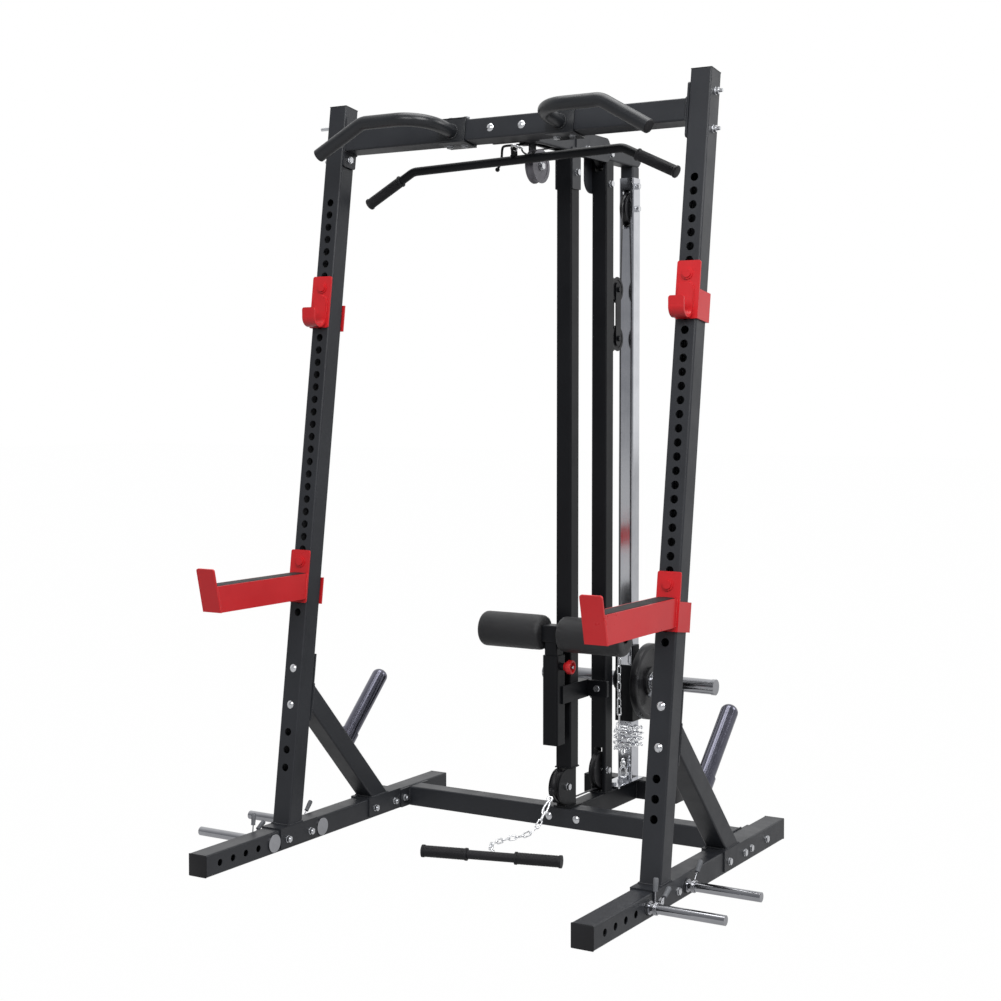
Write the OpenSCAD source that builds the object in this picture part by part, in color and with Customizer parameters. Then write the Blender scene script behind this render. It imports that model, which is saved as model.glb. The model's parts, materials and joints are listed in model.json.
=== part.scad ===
// Power rack with a plate-loaded cable tower.
// Frame: origin on the floor under the middle of the lower crossbeam, +X right, +Y rear, +Z up. Millimetres.

/* [Frame] */
// Outside width across the two feet
rack_width = 1216; // [1000:1400]
// Length of each foot
foot_length = 1170; // [1000:1300]
// Distance from the middle of the lower crossbeam forward to the ends of the feet
front_reach = 980; // [850:1050]
// Side of the square frame tube
frame_tube = 60; // [50:70]
// Wall of the square frame tube
frame_wall = 2.5; // [2:4]
// Lean of the uprights from the vertical, in degrees
lean = 7.9; // [4:10]
// Length of an upright along its front face
upright_length = 2075; // [1900:2200]
// Distance from the lower crossbeam forward to the front of an upright at its base
upright_setback = 627; // [560:680]
// Distance from the top of an upright down to the middle of the upper crossbeam
beam_drop = 107; // [80:160]

/* [Holes] */
// Adjustment hole diameter
hole_d = 22; // [16:26]
// Adjustment hole spacing
hole_pitch = 36; // [30:50]
// Number of adjustment holes in an upright
hole_count = 34; // [20:36]
// Distance from the middle of the upper crossbeam down to the top adjustment hole
top_hole_drop = 181; // [150:240]
// Play between a pin and its hole, on the diameter
pin_play = 0.16; // [0.05:0.2]
// Adjustment hole a bar hook hangs in, counted down from 0 at the top
hook_hole = 7; // [4:12]
// Adjustment hole a spotter arm hangs in
spotter_hole = 29; // [26:31]

/* [Tower] */
// Side of the square tower tube
tower_tube = 50; // [40:60]
// Distance from the front column to the rear column
column_step = 220; // [180:260]
// Distance from the front column to the guide
guide_y = 400; // [360:440]
// Cable diameter
cable_d = 5; // [4:6]
// Gap between a cable and what it runs in or past
cable_gap = 0.3; // [0.2:1]

/* [Carriage] */
// Travel of the weight carriage
carriage_travel = 1100; // [900:1200]
// Height of the loading horns at rest
horn_z = 380; // [340:420]
// Diameter of a loading horn
horn_d = 46; // [40:50]
// Distance from the middle out to the end of a horn
horn_reach = 297; // [250:320]
// Diameter of the weight plate
plate_d = 238; // [200:280]

/* [Fittings] */
// Storage pin diameter on the feet
peg_d = 25; // [20:30]
// Storage pin length outside the foot
peg_length = 204; // [150:240]
// Rear storage horn diameter
store_d = 48; // [40:50]
// Rear storage horn length
store_length = 263; // [200:300]
// Pull-up grip tube diameter
grip_d = 38; // [30:42]
// Pull-down bar diameter
bar_d = 25; // [22:30]
// Foam roller diameter
roller_d = 105; // [90:120]
// Foam roller length
roller_length = 206; // [180:260]
// Height of the foam rollers
roller_z = 583; // [540:640]

/* [Hidden] */
$fn = 48;
cap_t = 3;
saddle_t = 4;
saddle_len = 165;
saddle_z = frame_tube + saddle_t;
foot_x = rack_width / 2 - frame_tube / 2;
base_y = -upright_setback;
half = frame_tube / 2;
tt = tower_tube;
th = tower_tube / 2;
bolt_d = 10;
bolt_hole = 10.2;
peg_hole = peg_d + 0.2;
pin_d = hole_d - pin_play;
saddle_y = base_y + 41.5;
saddle_bolt = 52;
brace_saddle_y = -160.5;
ear_bolt = 56;
peg_y = [saddle_y - 109.5, saddle_y + 110.5];
brace_tilt = 43.5;
brace_along = 388.5;
plate_t = 5;
// beam end plate bolts, either side of the beam
beam_bolt = 50;
beam_along = upright_length - beam_drop;
top_hole = beam_along - top_hole_drop;
// underside of the boom and rear face of the upper crossbeam, to a whole millimetre
boom_z = floor(up_z(beam_along, half) - th);
rest_y = round(up_y(beam_along, frame_tube));
guide_top = boom_z - 34;
cable_r = cable_d / 2;
strand = cable_r + cable_gap;
front_pulley = [rest_y + 117, boom_z - 61.5, 48, 42];
rear_pulley = [column_step, boom_z + 19, 45, 39.2];
low_front = [-31, 125, 50, 44.2];
strand_y = rear_pulley[0] + rear_pulley[3] + strand;
low_rear = [strand_y - 51.2 - strand, 130, 55, 51.2];
float_y = strand_y + 38;
float_z = 1525;
float_top = [float_y, float_z + 75, 41.5, 38 - strand];
float_low = [float_y, float_z - 75, 41.5, 38 - strand];
guide_wheel = [guide_y, guide_top - 95, 55, 50 - strand];
rise_y = guide_y - 50;
fall_y = guide_y + 50;
wheel_w = 20;
store_tip = 20;
// middle of the cheeks of the low front wheel, and bolts that hold the tower to the crossbeam
cheek = 15.5;
base_bolt = 46;
rest_gap = 0.4;

function up_y(a, d) = base_y + a * sin(lean) + d * cos(lean);
function up_z(a, d) = saddle_z + a * cos(lean) - d * sin(lean);
function hole_along(i) = top_hole - i * hole_pitch;

// ---------- plain shapes ----------
module round_square(w, d, r) {
  square([w - 2 * r, d], center = true);
  square([w, d - 2 * r], center = true);
  for (x = [-1, 1], y = [-1, 1])
    translate([x * (w / 2 - r), y * (d / 2 - r)]) circle(r);
}

// square tube standing on z = 0
module tube(w, d, l, t) {
  linear_extrude(l)
    difference() {
      round_square(w, d, 2 * t);
      round_square(w - 2 * t, d - 2 * t, t);
    }
}

module rod_x(d, x0, x1) {
  translate([x0, 0, 0]) rotate([0, 90, 0]) cylinder(d = d, h = x1 - x0);
}

module rod_y(d, y0, y1) {
  translate([0, y0, 0]) rotate([-90, 0, 0]) cylinder(d = d, h = y1 - y0);
}

module ring_x(d, inner, x0, x1) {
  translate([x0, 0, 0]) rotate([0, 90, 0])
    difference() {
      cylinder(d = d, h = x1 - x0);
      translate([0, 0, -1]) cylinder(d = inner, h = x1 - x0 + 2);
    }
}

module box(x0, x1, y0, y1, z0, z1) {
  translate([x0, y0, z0]) cube([x1 - x0, y1 - y0, z1 - z0]);
}

// plate lying in the YZ plane with rounded corners, from x0, t thick
module plate_x(x0, t, y0, y1, z0, z1, r) {
  translate([x0, (y0 + y1) / 2, (z0 + z1) / 2]) rotate([90, 0, 90])
    linear_extrude(t) round_square(y1 - y0, z1 - z0, r);
}

// plate lying in the XZ plane with rounded corners, from y0, t thick
module plate_y(y0, t, x0, x1, z0, z1, r) {
  translate([(x0 + x1) / 2, y0 + t, (z0 + z1) / 2]) rotate([90, 0, 0])
    linear_extrude(t) round_square(x1 - x0, z1 - z0, r);
}

// hex bolt along +Z: underside of the head at 0, nut face at grip
module hex_bolt(grip, tail = 12) {
  translate([0, 0, -6.4]) cylinder(d = 19.6, h = 6.4, $fn = 6);
  translate([0, 0, -2]) cylinder(d = 20.4, h = 2);
  cylinder(d = bolt_d, h = grip + tail);
  translate([0, 0, grip]) cylinder(d = 20.4, h = 1.8);
  translate([0, 0, grip + 1.8]) cylinder(d = 19.6, h = 8, $fn = 6);
}

// round-headed bolt along +Z: underside of the head at 0, nut face at grip
module dome_bolt(grip, tail = 12) {
  intersection() {
    translate([0, 0, 12.1]) sphere(r = 16.6);
    translate([0, 0, -4.5]) cylinder(r = 11.3, h = 4.5);
  }
  cylinder(d = bolt_d, h = grip + tail);
  translate([0, 0, grip]) cylinder(d = 20.4, h = 1.8);
  translate([0, 0, grip + 1.8]) cylinder(d = 19.6, h = 8, $fn = 6);
}

// grooved wheel on the X axis at [y, z, rim radius, groove radius]
module wheel(p, w, bore = 10.2) {
  g = p[2] - p[3];
  translate([0, p[0], p[1]]) rotate([0, 90, 0])
    difference() {
      rotate_extrude() translate([0, -w / 2])
        difference() {
          square([p[2], w]);
          translate([p[3] + 2 * g, w / 2]) circle(2 * g);
        }
      translate([0, 0, -w]) cylinder(d = bore, h = 2 * w);
      for (s = [-1, 1])
        translate([0, 0, s * w / 2])
          difference() {
            translate([0, 0, -2]) cylinder(r = p[3] - 5, h = 4);
            translate([0, 0, -3]) cylinder(r = 13, h = 6);
          }
    }
}

// what stands at an upright: x from its middle, y back from its front face, z along it
module at_upright(s, a = 0, d = 0) {
  translate([s * foot_x, base_y, saddle_z]) rotate([-lean, 0, 0])
    translate([0, d, a]) children();
}

// mirrored for the left side
module side(s) {
  mirror([s < 0 ? 1 : 0, 0, 0]) children();
}

// ---------- swept round lines ----------
function unit(v) = v / norm(v);
function heading(p, i) =
  unit(p[min(i + 1, len(p) - 1)] - p[max(i - 1, 0)]);
function level(u, h) = unit(u - (u * h) * h);
// directions across a line, carried along it without twist
function carried(p, u) =
  [for (s = [0, level(u, heading(p, 0))]; s[0] < len(p);
    s = [s[0] + 1, level(s[1], heading(p, min(s[0] + 1, len(p) - 1)))]) s[1]];
function ring_at(c, h, u, r, n) =
  let (v = cross(h, u))
  [for (k = [0 : n - 1]) c + r * (cos(360 * k / n) * u + sin(360 * k / n) * v)];

// one closed tube through the points p
module sweep(p, r, n = 8, start = [1, 0, 0]) {
  u = carried(p, start);
  rings = [for (i = [0 : len(p) - 1]) each ring_at(p[i], heading(p, i), u[i], r, n)];
  last = (len(p) - 1) * n;
  sides = [for (i = [0 : len(p) - 2], k = [0 : n - 1])
    [i * n + k, (i + 1) * n + k, (i + 1) * n + (k + 1) % n, i * n + (k + 1) % n]];
  polyhedron(rings, concat(sides, [[for (k = [0 : n - 1]) k]],
    [[for (k = [n - 1 : -1 : 0]) last + k]]));
}

// arc of a cable round a wheel, from angle a0 to a1 in the YZ plane
function wrap(p, a0, a1, n, x = 0) =
  [for (i = [0 : n]) let (a = a0 + (a1 - a0) * i / n)
    [x, p[0] + (p[3] + strand) * cos(a), p[1] + (p[3] + strand) * sin(a)]];

// points of a smooth line through p, m between each pair
function smooth(p, m) =
  [for (i = [0 : len(p) - 2], j = [0 : m - 1])
    let (a = p[max(i - 1, 0)], b = p[i], c = p[i + 1], d = p[min(i + 2, len(p) - 1)], t = j / m)
    0.5 * (2 * b + (c - a) * t + (2 * a - 5 * b + 4 * c - d) * t * t
      + (3 * b - a - 3 * c + d) * t * t * t)];

// ---------- feet ----------
module foot(s) {
  difference() {
    translate([s * foot_x, -front_reach + cap_t, half]) rotate([-90, 0, 0])
      tube(frame_tube, frame_tube, foot_length - 2 * cap_t, frame_wall);
    for (i = [0 : 3])
      translate([s * foot_x, -923 + i * 53.7, half]) rod_x(19, -40, 40);
    for (y = peg_y)
      translate([s * foot_x, y, half]) rod_x(peg_hole, -40, 40);
    for (y = [-saddle_bolt, saddle_bolt], c = [saddle_y, brace_saddle_y])
      translate([s * foot_x, c + y, half]) rod_x(bolt_hole, -40, 40);
    for (y = [-ear_bolt, ear_bolt])
      translate([s * foot_x, y, half]) rod_x(bolt_hole, -40, 40);
  }
}

module left_foot() {
  color("#3c3e42") foot(-1);
}

module right_foot() {
  color("#3c3e42") foot(1);
}

// U-shaped saddle over a foot
module saddle(s, y) {
  difference() {
    box(s * foot_x - half - saddle_t, s * foot_x + half + saddle_t,
      y - saddle_len / 2, y + saddle_len / 2, 8, saddle_z);
    box(s * foot_x - half, s * foot_x + half, y - 100, y + 100, -1, frame_tube);
    for (b = [-saddle_bolt, saddle_bolt])
      translate([s * foot_x, y + b, half]) rod_x(bolt_hole, -50, 50);
  }
}

module upright(s) {
  difference() {
    at_upright(s)
      difference() {
        translate([0, half, -20])
          tube(frame_tube, frame_tube, upright_length + 20 - cap_t, frame_wall);
        for (i = [0 : hole_count - 1])
          translate([0, 0, hole_along(i)]) rod_y(hole_d, -5, 70);
        for (a = [160, 210, 260])
          translate([0, 0, a]) rod_y(hole_d, -5, 70);
        for (a = [-51.5, 51.5])
          translate([0, 0, brace_along + a]) rod_y(bolt_hole, -5, 70);
        for (a = [-beam_bolt, beam_bolt])
          translate([0, half, beam_along + a]) rod_x(bolt_hole, -40, 40);
      }
    box(s * foot_x - 60, s * foot_x + 60, base_y - 60, base_y + 120, saddle_z - 60, saddle_z);
  }
  saddle(s, saddle_y);
}

module left_upright() {
  color("#4a4c50") upright(-1);
}

module right_upright() {
  color("#4a4c50") upright(1);
}

module brace(s) {
  difference() {
    union() {
      difference() {
        translate([s * foot_x, -166.8, 47.3]) rotate([brace_tilt, 0, 0])
          translate([0, 0, -60]) tube(frame_tube, frame_tube, 720, frame_wall);
        at_upright(s) box(-60, 60, -300, half * 2 + 6, 0, 900);
      }
      at_upright(s) box(-half, half, frame_tube, frame_tube + 6, brace_along - 95, brace_along + 95);
    }
    box(s * foot_x - 60, s * foot_x + 60, -400, 100, -100, saddle_z);
    at_upright(s)
      for (a = [-51.5, 51.5])
        translate([0, 0, brace_along + a]) rod_y(bolt_hole, 50, 80);
    at_upright(s) translate([0, 0, brace_along - 51.5]) rod_y(26, frame_tube + 6, frame_tube + 90);
  }
  saddle(s, brace_saddle_y);
}

module left_brace() {
  color("#3a3c40") brace(-1);
}

module right_brace() {
  color("#3a3c40") brace(1);
}

module storage_horns() {
  color("#9a9ca2")
    for (s = [-1, 1])
      translate([s * foot_x, -317.2, 249.5]) rotate([brace_tilt - 90, 0, 0]) {
        cylinder(d = store_d, h = store_length - store_tip);
        cylinder(d = store_d + 7, h = half + 2);
        rotate_extrude() {
          square([store_d / 2 - store_tip, store_length]);
          translate([store_d / 2 - store_tip, store_length - store_tip])
            intersection() {
              circle(store_tip);
              square(store_tip);
            }
        }
      }
}

module tube_caps() {
  color("#17181a") {
    for (s = [-1, 1]) {
      for (y = [-front_reach, -front_reach + foot_length - cap_t])
        translate([s * foot_x, y + cap_t, half]) rotate([90, 0, 0])
          linear_extrude(cap_t) round_square(frame_tube, frame_tube, 5);
      at_upright(s, upright_length - cap_t, half)
        linear_extrude(cap_t) round_square(frame_tube, frame_tube, 5);
      side(s) grip_cap();
    }
    for (s = [-1, 1])
      translate([s * 160, guide_y + 40, half]) rotate([0, s * 90, 0])
        linear_extrude(cap_t) round_square(frame_tube, frame_tube, 5);
  }
}

module lower_crossbeam() {
  color("#35373b")
    difference() {
      union() {
        translate([-foot_x + half + 6, 0, half]) rotate([0, 90, 0])
          tube(frame_tube, frame_tube, 2 * (foot_x - half - 6), frame_wall);
        for (s = [-1, 1])
          plate_x(s * (foot_x - half - 3) - 3, 6, -77, 77, 2, frame_tube - 2, 4);
      }
      for (s = [-1, 1], y = [-ear_bolt, ear_bolt])
        translate([s * foot_x, y, half]) rod_x(bolt_hole, -50, 50);
      for (s = [-1, 1])
        translate([s * base_bolt, 0, half]) rod_y(bolt_hole, -40, 40);
    }
}

module upper_crossbeam() {
  color("#44464a")
    difference() {
      union() {
        at_upright(0, beam_along, half)
          translate([-foot_x + half + 6, 0, 0]) rotate([0, 90, 0])
            tube(frame_tube, frame_tube, 2 * (foot_x - half - 6), frame_wall);
        for (s = [-1, 1])
          at_upright(0, beam_along, half)
            plate_x(s * (foot_x - half - 3) - 3, 6, -half + 1, half - 1, -73, 73, 8);
      }
      for (s = [-1, 1], a = [-beam_bolt, beam_bolt])
        at_upright(s, beam_along + a, half) rod_x(bolt_hole, -60, 60);
      for (x = [-50, 50])
        at_upright(0, beam_along, 0) translate([x, 0, 0]) rod_y(bolt_hole, -5, 70);
      for (s = [-1, 1])
        at_upright(0, beam_along, 0) side(s) clamp_holes();
    }
}

// rest for the pull-down bar, fixed under the boom
module bar_rest() {
  color("#222327")
    translate([0, rest_y, boom_z]) {
      box(-24, -8, 59, 81, -8, 0);
      sweep(smooth([[-16, 70, -4], [-50, 70, -4], [-80, 70, -4.5], [-88, 70.5, -12], [-91, 72, -34],
        [-98, 75, -54], [-107, 75.5, -67]], 4), 3.5, 12);
      translate([-107, 75.5, -68]) sphere(6.5, $fn = 32);
    }
}

// ---------- pull-up grips ----------
grip_x = 172;
grip_clamp = 86;
grip_bend = 90;
grip_out = 147;
grip_run = 201;
grip_drop = 30;
clamp_bolt = 24.5;
grip_low = 4;

grip_k = 60 * tan(grip_drop / 2);
grip_tip = [grip_x + grip_run - grip_k + 60 * sin(grip_drop), -plate_t - grip_out,
  -60 * (1 - cos(grip_drop))];

// tube of a grip, from the front of the beam forward, outward and down
module grip_tube() {
  o = plate_t + grip_out - grip_bend;
  at_upright(0, beam_along, 0)
    translate([0, 0, -grip_low]) sweep(concat([[grip_x, -2, 0], [grip_x, -o, 0]],
      [for (a = [9 : 9 : 90]) [grip_x + grip_bend * (1 - cos(a)), -o - grip_bend * sin(a), 0]],
      [for (a = [0 : 5 : grip_drop])
        [grip_x + grip_run - grip_k + 60 * sin(a), -plate_t - grip_out, -60 * (1 - cos(a))]],
      [grip_tip + 148 * [cos(grip_drop), 0, -sin(grip_drop)]]), grip_d / 2, 32, [0, 0, 1]);
}

module grip_cap() {
  at_upright(0, beam_along, 0)
    translate(grip_tip - [0, 0, grip_low]) rotate([0, grip_drop, 0]) rod_x(grip_d - 1, 148, 151);
}

module clamp_holes() {
  for (x = [-clamp_bolt, clamp_bolt])
    translate([grip_x + x, half, -half - 20]) cylinder(d = bolt_hole, h = frame_tube + 40);
}

// bracket over the beam, closed by a plate under it and bolted through both
module grip_clamp_part() {
  at_upright(0, beam_along, 0)
    difference() {
      box(grip_x - grip_clamp / 2, grip_x + grip_clamp / 2, -plate_t, frame_tube + plate_t,
        -half, half + plate_t);
      box(grip_x - 60, grip_x + 60, 0, frame_tube, -half - 1, half);
      clamp_holes();
    }
}

module grip_under_plate() {
  at_upright(0, beam_along, 0)
    difference() {
      box(grip_x - grip_clamp / 2, grip_x + grip_clamp / 2, -plate_t, frame_tube + plate_t,
        -half - plate_t, -half);
      clamp_holes();
    }
}

module left_pullup_grip() {
  color("#4c4e52") side(-1) {
    grip_tube();
    grip_clamp_part();
    grip_under_plate();
  }
}

module right_pullup_grip() {
  color("#4c4e52") {
    grip_tube();
    grip_clamp_part();
    grip_under_plate();
  }
}

// ---------- tower ----------
boom_top = boom_z + tt;
boom_end = guide_y + th;
boom_plate = 6;
// height of the side plate's bolt above the underside of the boom
plate_bolt = 14;

module boom() {
  color("#3a3c40") {
    difference() {
      union() {
        difference() {
          translate([0, rest_y - 43, boom_z + th]) rotate([-90, 0, 0])
            tube(tt, tt, boom_end - rest_y + 43, frame_wall);
          at_upright(0, beam_along, 0) box(-60, 60, -100, frame_tube + boom_plate, -150, 150);
          translate([0, boom_end, boom_z]) rotate([45, 0, 0]) cube([80, 20, 20], center = true);
        }
        at_upright(0, beam_along, 0)
          box(-75, 75, frame_tube, frame_tube + boom_plate, -half, half);
        // strap that carries the front pulley
        plate_x(-18.5, 4, front_pulley[0] - 18, front_pulley[0] + 18,
          front_pulley[1] - 20, boom_z + 1, 4);
      }
      for (x = [-50, 50])
        at_upright(0, beam_along, 0) translate([x, 0, 0]) rod_y(bolt_hole, -5, 90);
      translate([0, front_pulley[0], front_pulley[1]]) rod_x(bolt_hole, -40, 40);
      translate([0, rear_pulley[0], rear_pulley[1]]) rod_x(bolt_hole, -40, 40);
      // openings for the cable and the rear pulley
      box(-12, 12, front_pulley[0] - 16, -40, boom_z - 2, boom_z + 4);
      box(-12, 12, 110, rear_pulley[0] + 56, boom_top - 4, boom_top + 1);
      box(-12, 12, rear_pulley[0] - 50, rear_pulley[0] + 50, boom_z - 1, boom_z + 4);
      translate([0, 60, boom_z + plate_bolt]) rod_x(bolt_hole, -40, 40);
    }
    // side plates over the rear column
    difference() {
      union() {
        plate_x(th, 4, 0, 210, boom_z - 9, boom_z + 63, 22);
        plate_x(-th - 4, 4, 150, 310, boom_z - 99, boom_z + 56, 40);
        plate_x(th, 4, -th, th, boom_z - 109, boom_z + 12, 3);
        plate_x(-th - 4, 4, -th, th, boom_z - 109, boom_z + 12, 3);
      }
      translate([0, 60, boom_z + plate_bolt]) rod_x(bolt_hole, -40, 40);
      translate([0, rear_pulley[0], rear_pulley[1]]) rod_x(bolt_hole, -40, 40);
      translate([0, 0, boom_z - 60]) rod_x(bolt_hole, -40, 40);
      translate([0, column_step, boom_z - 70]) rod_x(bolt_hole, -40, 40);
    }
    // insert that joins the guide to the boom
    difference() {
      translate([0, guide_y, guide_top - 36]) tube(tt - 5.2, tt - 5.2, boom_z - guide_top + 36, 3);
      translate([0, guide_y, guide_top - 25]) rod_x(bolt_hole, -40, 40);
    }
  }
}

module front_column() {
  foot_top = 178;
  color("#2c2d31") {
    difference() {
      union() {
        translate([0, 0, foot_top]) tube(tt, tt, boom_z - foot_top, frame_wall);
        box(1 - th, th - 1, 1 - th, th - 1, foot_top - 1, foot_top + 4);
        for (s = [-1, 1])
          difference() {
            union() {
              plate_x(s * cheek - 2, 4, low_front[0], th - 2, frame_tube, 190, 2);
              translate([0, low_front[0], low_front[1]]) rod_x(102, s * cheek - 2, s * cheek + 2);
            }
            box(-60, 60, -120, 60, foot_top + 2, 260);
            translate([0, low_front[0], low_front[1]]) rod_x(bolt_hole, -60, 60);
          }
        box(-th - 4, th + 4, -30, th, frame_tube, frame_tube + 5);
      }
      translate([0, 0, boom_z - 60]) rod_x(bolt_hole, -40, 40);
    }
  }
}

module rear_column() {
  color("#2c2d31")
    difference() {
      translate([0, column_step, frame_tube]) tube(tt, tt, boom_z - frame_tube, frame_wall);
      box(-14, 14, column_step - 40, column_step + 40, frame_tube + 6, 200);
      box(-13, 13, column_step - 50, column_step + 50, rear_pulley[1] - 52, boom_z + 5);
      translate([0, low_rear[0], low_rear[1]]) rod_x(bolt_hole, -60, 60);
      translate([0, column_step, boom_z - 70]) rod_x(bolt_hole, -40, 40);
    }
}

module tower_base() {
  color("#232428") {
    difference() {
      union() {
        translate([0, half + 6, half]) rotate([-90, 0, 0])
          tube(tt, frame_tube, guide_y + 10 - half - 6, frame_wall);
        plate_y(half, 6, -60, 60, 2, frame_tube - 2, 4);
      }
      for (s = [-1, 1])
        translate([s * base_bolt, 0, half]) rod_y(bolt_hole, -40, 60);
      for (y = [300, 345])
        translate([0, y, frame_tube - 10]) cylinder(d = bolt_hole, h = 20);
    }
    translate([-160, guide_y + 40, half]) rotate([0, 90, 0]) tube(frame_tube, frame_tube, 320, frame_wall);
  }
}

module guide_post() {
  color("#d8dade")
    difference() {
      union() {
        translate([0, guide_y, frame_tube + 6]) tube(tt, tt, guide_top - frame_tube - 6, 2.5);
        translate([0, guide_y - 45, frame_tube]) linear_extrude(6) round_square(70, 170, 6);
      }
      for (y = [300, 345])
        translate([0, y, frame_tube - 1]) cylinder(d = bolt_hole, h = 20);
      box(-12.5, 12.5, guide_y - 40, guide_y + 40, guide_wheel[1] - 62, guide_wheel[1] + 62);
      translate([0, guide_y, guide_wheel[1]]) rod_x(bolt_hole, -40, 40);
      translate([0, guide_y, guide_top - 25]) rod_x(bolt_hole, -40, 40);
    }
}

module front_top_pulley() {
  color("#c9cbd0") wheel(front_pulley, 26);
}

module rear_top_pulley() {
  color("#1b1c1f") wheel(rear_pulley, wheel_w);
}

module guide_pulley() {
  color("#1b1c1f") wheel(guide_wheel, wheel_w);
}

module low_front_pulley() {
  color("#1b1c1f") wheel(low_front, 24);
}

module low_rear_pulley() {
  color("#1b1c1f") wheel(low_rear, wheel_w);
}

module float_upper_pulley() {
  color("#1b1c1f") wheel(float_top, 18);
}

module float_lower_pulley() {
  color("#1b1c1f") wheel(float_low, 18);
}

// two straps and two axles that carry the floating pulleys
module float_block() {
  color("#4e5055")
    difference() {
      for (s = [-1, 1])
        plate_x(s * 11.5 - 1.5, 3, float_y - 16, float_y + 16, float_low[1] - 22, float_top[1] + 22, 14);
      for (p = [float_top, float_low])
        translate([0, p[0], p[1]]) rod_x(10.1, -20, 20);
    }
  color("#c9cbd0")
    for (p = [float_top, float_low])
      translate([0, p[0], p[1]]) {
        rod_x(10, -13, 13);
        translate([13, 0, 0]) rotate([0, 90, 0]) cylinder(d = 17, h = 6, $fn = 6);
        translate([-19, 0, 0]) rotate([0, 90, 0]) cylinder(d = 17, h = 6, $fn = 6);
      }
}

// ---------- cables ----------
// lean of the strand between the upper floating wheel and the wheel in the guide
rise = [guide_wheel[0] - float_top[0], guide_wheel[1] - float_top[1]];
rise_lean = atan2(rise[0], rise[1]) - asin((guide_wheel[3] + float_top[3] + 2 * strand) / norm(rise));
// slope of the strand along the boom
reach = [rear_pulley[0] - front_pulley[0], rear_pulley[1] - front_pulley[1]];
reach_tilt = atan2(reach[1], reach[0]) + asin((rear_pulley[3] - front_pulley[3]) / norm(reach));
// gap between the ends of cables on different bodies
end_gap = 0.4;

function line(a, b, n) = [for (i = [0 : n]) a + (b - a) * i / n];
function shorten(a, b) = a + unit(b - a) * end_gap;
function strand_line(a, b, n) = line(shorten(a, b), shorten(b, a), n);
function on_wheel(p, a) = wrap(p, a, a, 1)[0];
// where the low cable leaves its front wheel, and which way
low_exit = on_wheel(low_front, 225);
low_way = [0, -cos(45), sin(45)];
ball = low_exit + 39.3 * low_way;

module fixed_cables() {
  color("#101113") {
    sweep(concat(wrap(front_pulley, 135, 90 + reach_tilt, 5), wrap(rear_pulley, 90 + reach_tilt, 0, 10)),
      cable_r);
    sweep(wrap(guide_wheel, 180 - rise_lean, 0, 16), cable_r);
    sweep(concat(line(low_exit + 29.9 * low_way, low_exit, 3), wrap(low_front, 230, 270, 8),
      wrap(low_rear, 270, 360, 9)), cable_r);
  }
}

// strands that lengthen as the floating block goes down
module upper_strands() {
  color("#101113") {
    sweep(strand_line(on_wheel(float_top, 180), on_wheel(rear_pulley, 0), 12), cable_r);
    sweep(strand_line(on_wheel(float_top, -rise_lean), on_wheel(guide_wheel, 180 - rise_lean), 8), cable_r);
  }
}

// strands that shorten as the floating block goes down
module lower_strands() {
  color("#101113") {
    sweep(strand_line(on_wheel(low_rear, 0), on_wheel(float_low, 180), 24), cable_r);
    sweep(strand_line([0, float_y + 38, 446], on_wheel(float_low, 0), 20), cable_r);
  }
}

module block_cables() {
  color("#101113") {
    sweep(wrap(float_top, -180, -rise_lean, 16), cable_r);
    sweep(wrap(float_low, 180, 0, 16), cable_r);
  }
}

module carriage_strand() {
  color("#101113")
    sweep(strand_line([0, fall_y, horn_z + 69], on_wheel(guide_wheel, 0), 24), cable_r);
}

// slack end of the cable between the front wheel and the pull-down bar
module bar_strand() {
  a = on_wheel(front_pulley, 135);
  color("#101113")
    sweep(concat(smooth([a + [0, -0.4, -0.4], a + [0, -8, -6], a + [-5, -18, -5], a + [-10, -27, 0],
      a + [-15, -31.5, 10]], 4), [a + [-15, -31.5, 10]]), cable_r);
}

// chain from the low cable down to the guide, wound round it and hooked to its foot
chain_r = 7;
chain_turns = 4;
module anchor_chain() {
  o = th + chain_r + 1.5;
  turn = [for (k = [0 : 3]) each [
    [cos(90 * k - 90) * o, sin(90 * k - 90) * o],
    [cos(90 * k - 45) * o * 1.36, sin(90 * k - 45) * o * 1.36]]];
  color("#c4c6ca")
    sweep(concat(
      [for (i = [0 : 6]) [0, float_y + 38, 445 - 30 * i]],
      [[-2, float_y + 40, 247], [-6, float_y + 47, 236]],
      [for (i = [1 : 8 * chain_turns]) [turn[i % 8][0], guide_y + turn[i % 8][1], 233 - 18 * i / 8]],
      [[3, guide_y - o - 8, 146], [5, guide_y - o - 12, 130], [5, guide_y - o - 12, 100],
        [5, guide_y - o - 12, 78]]), chain_r);
}

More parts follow.
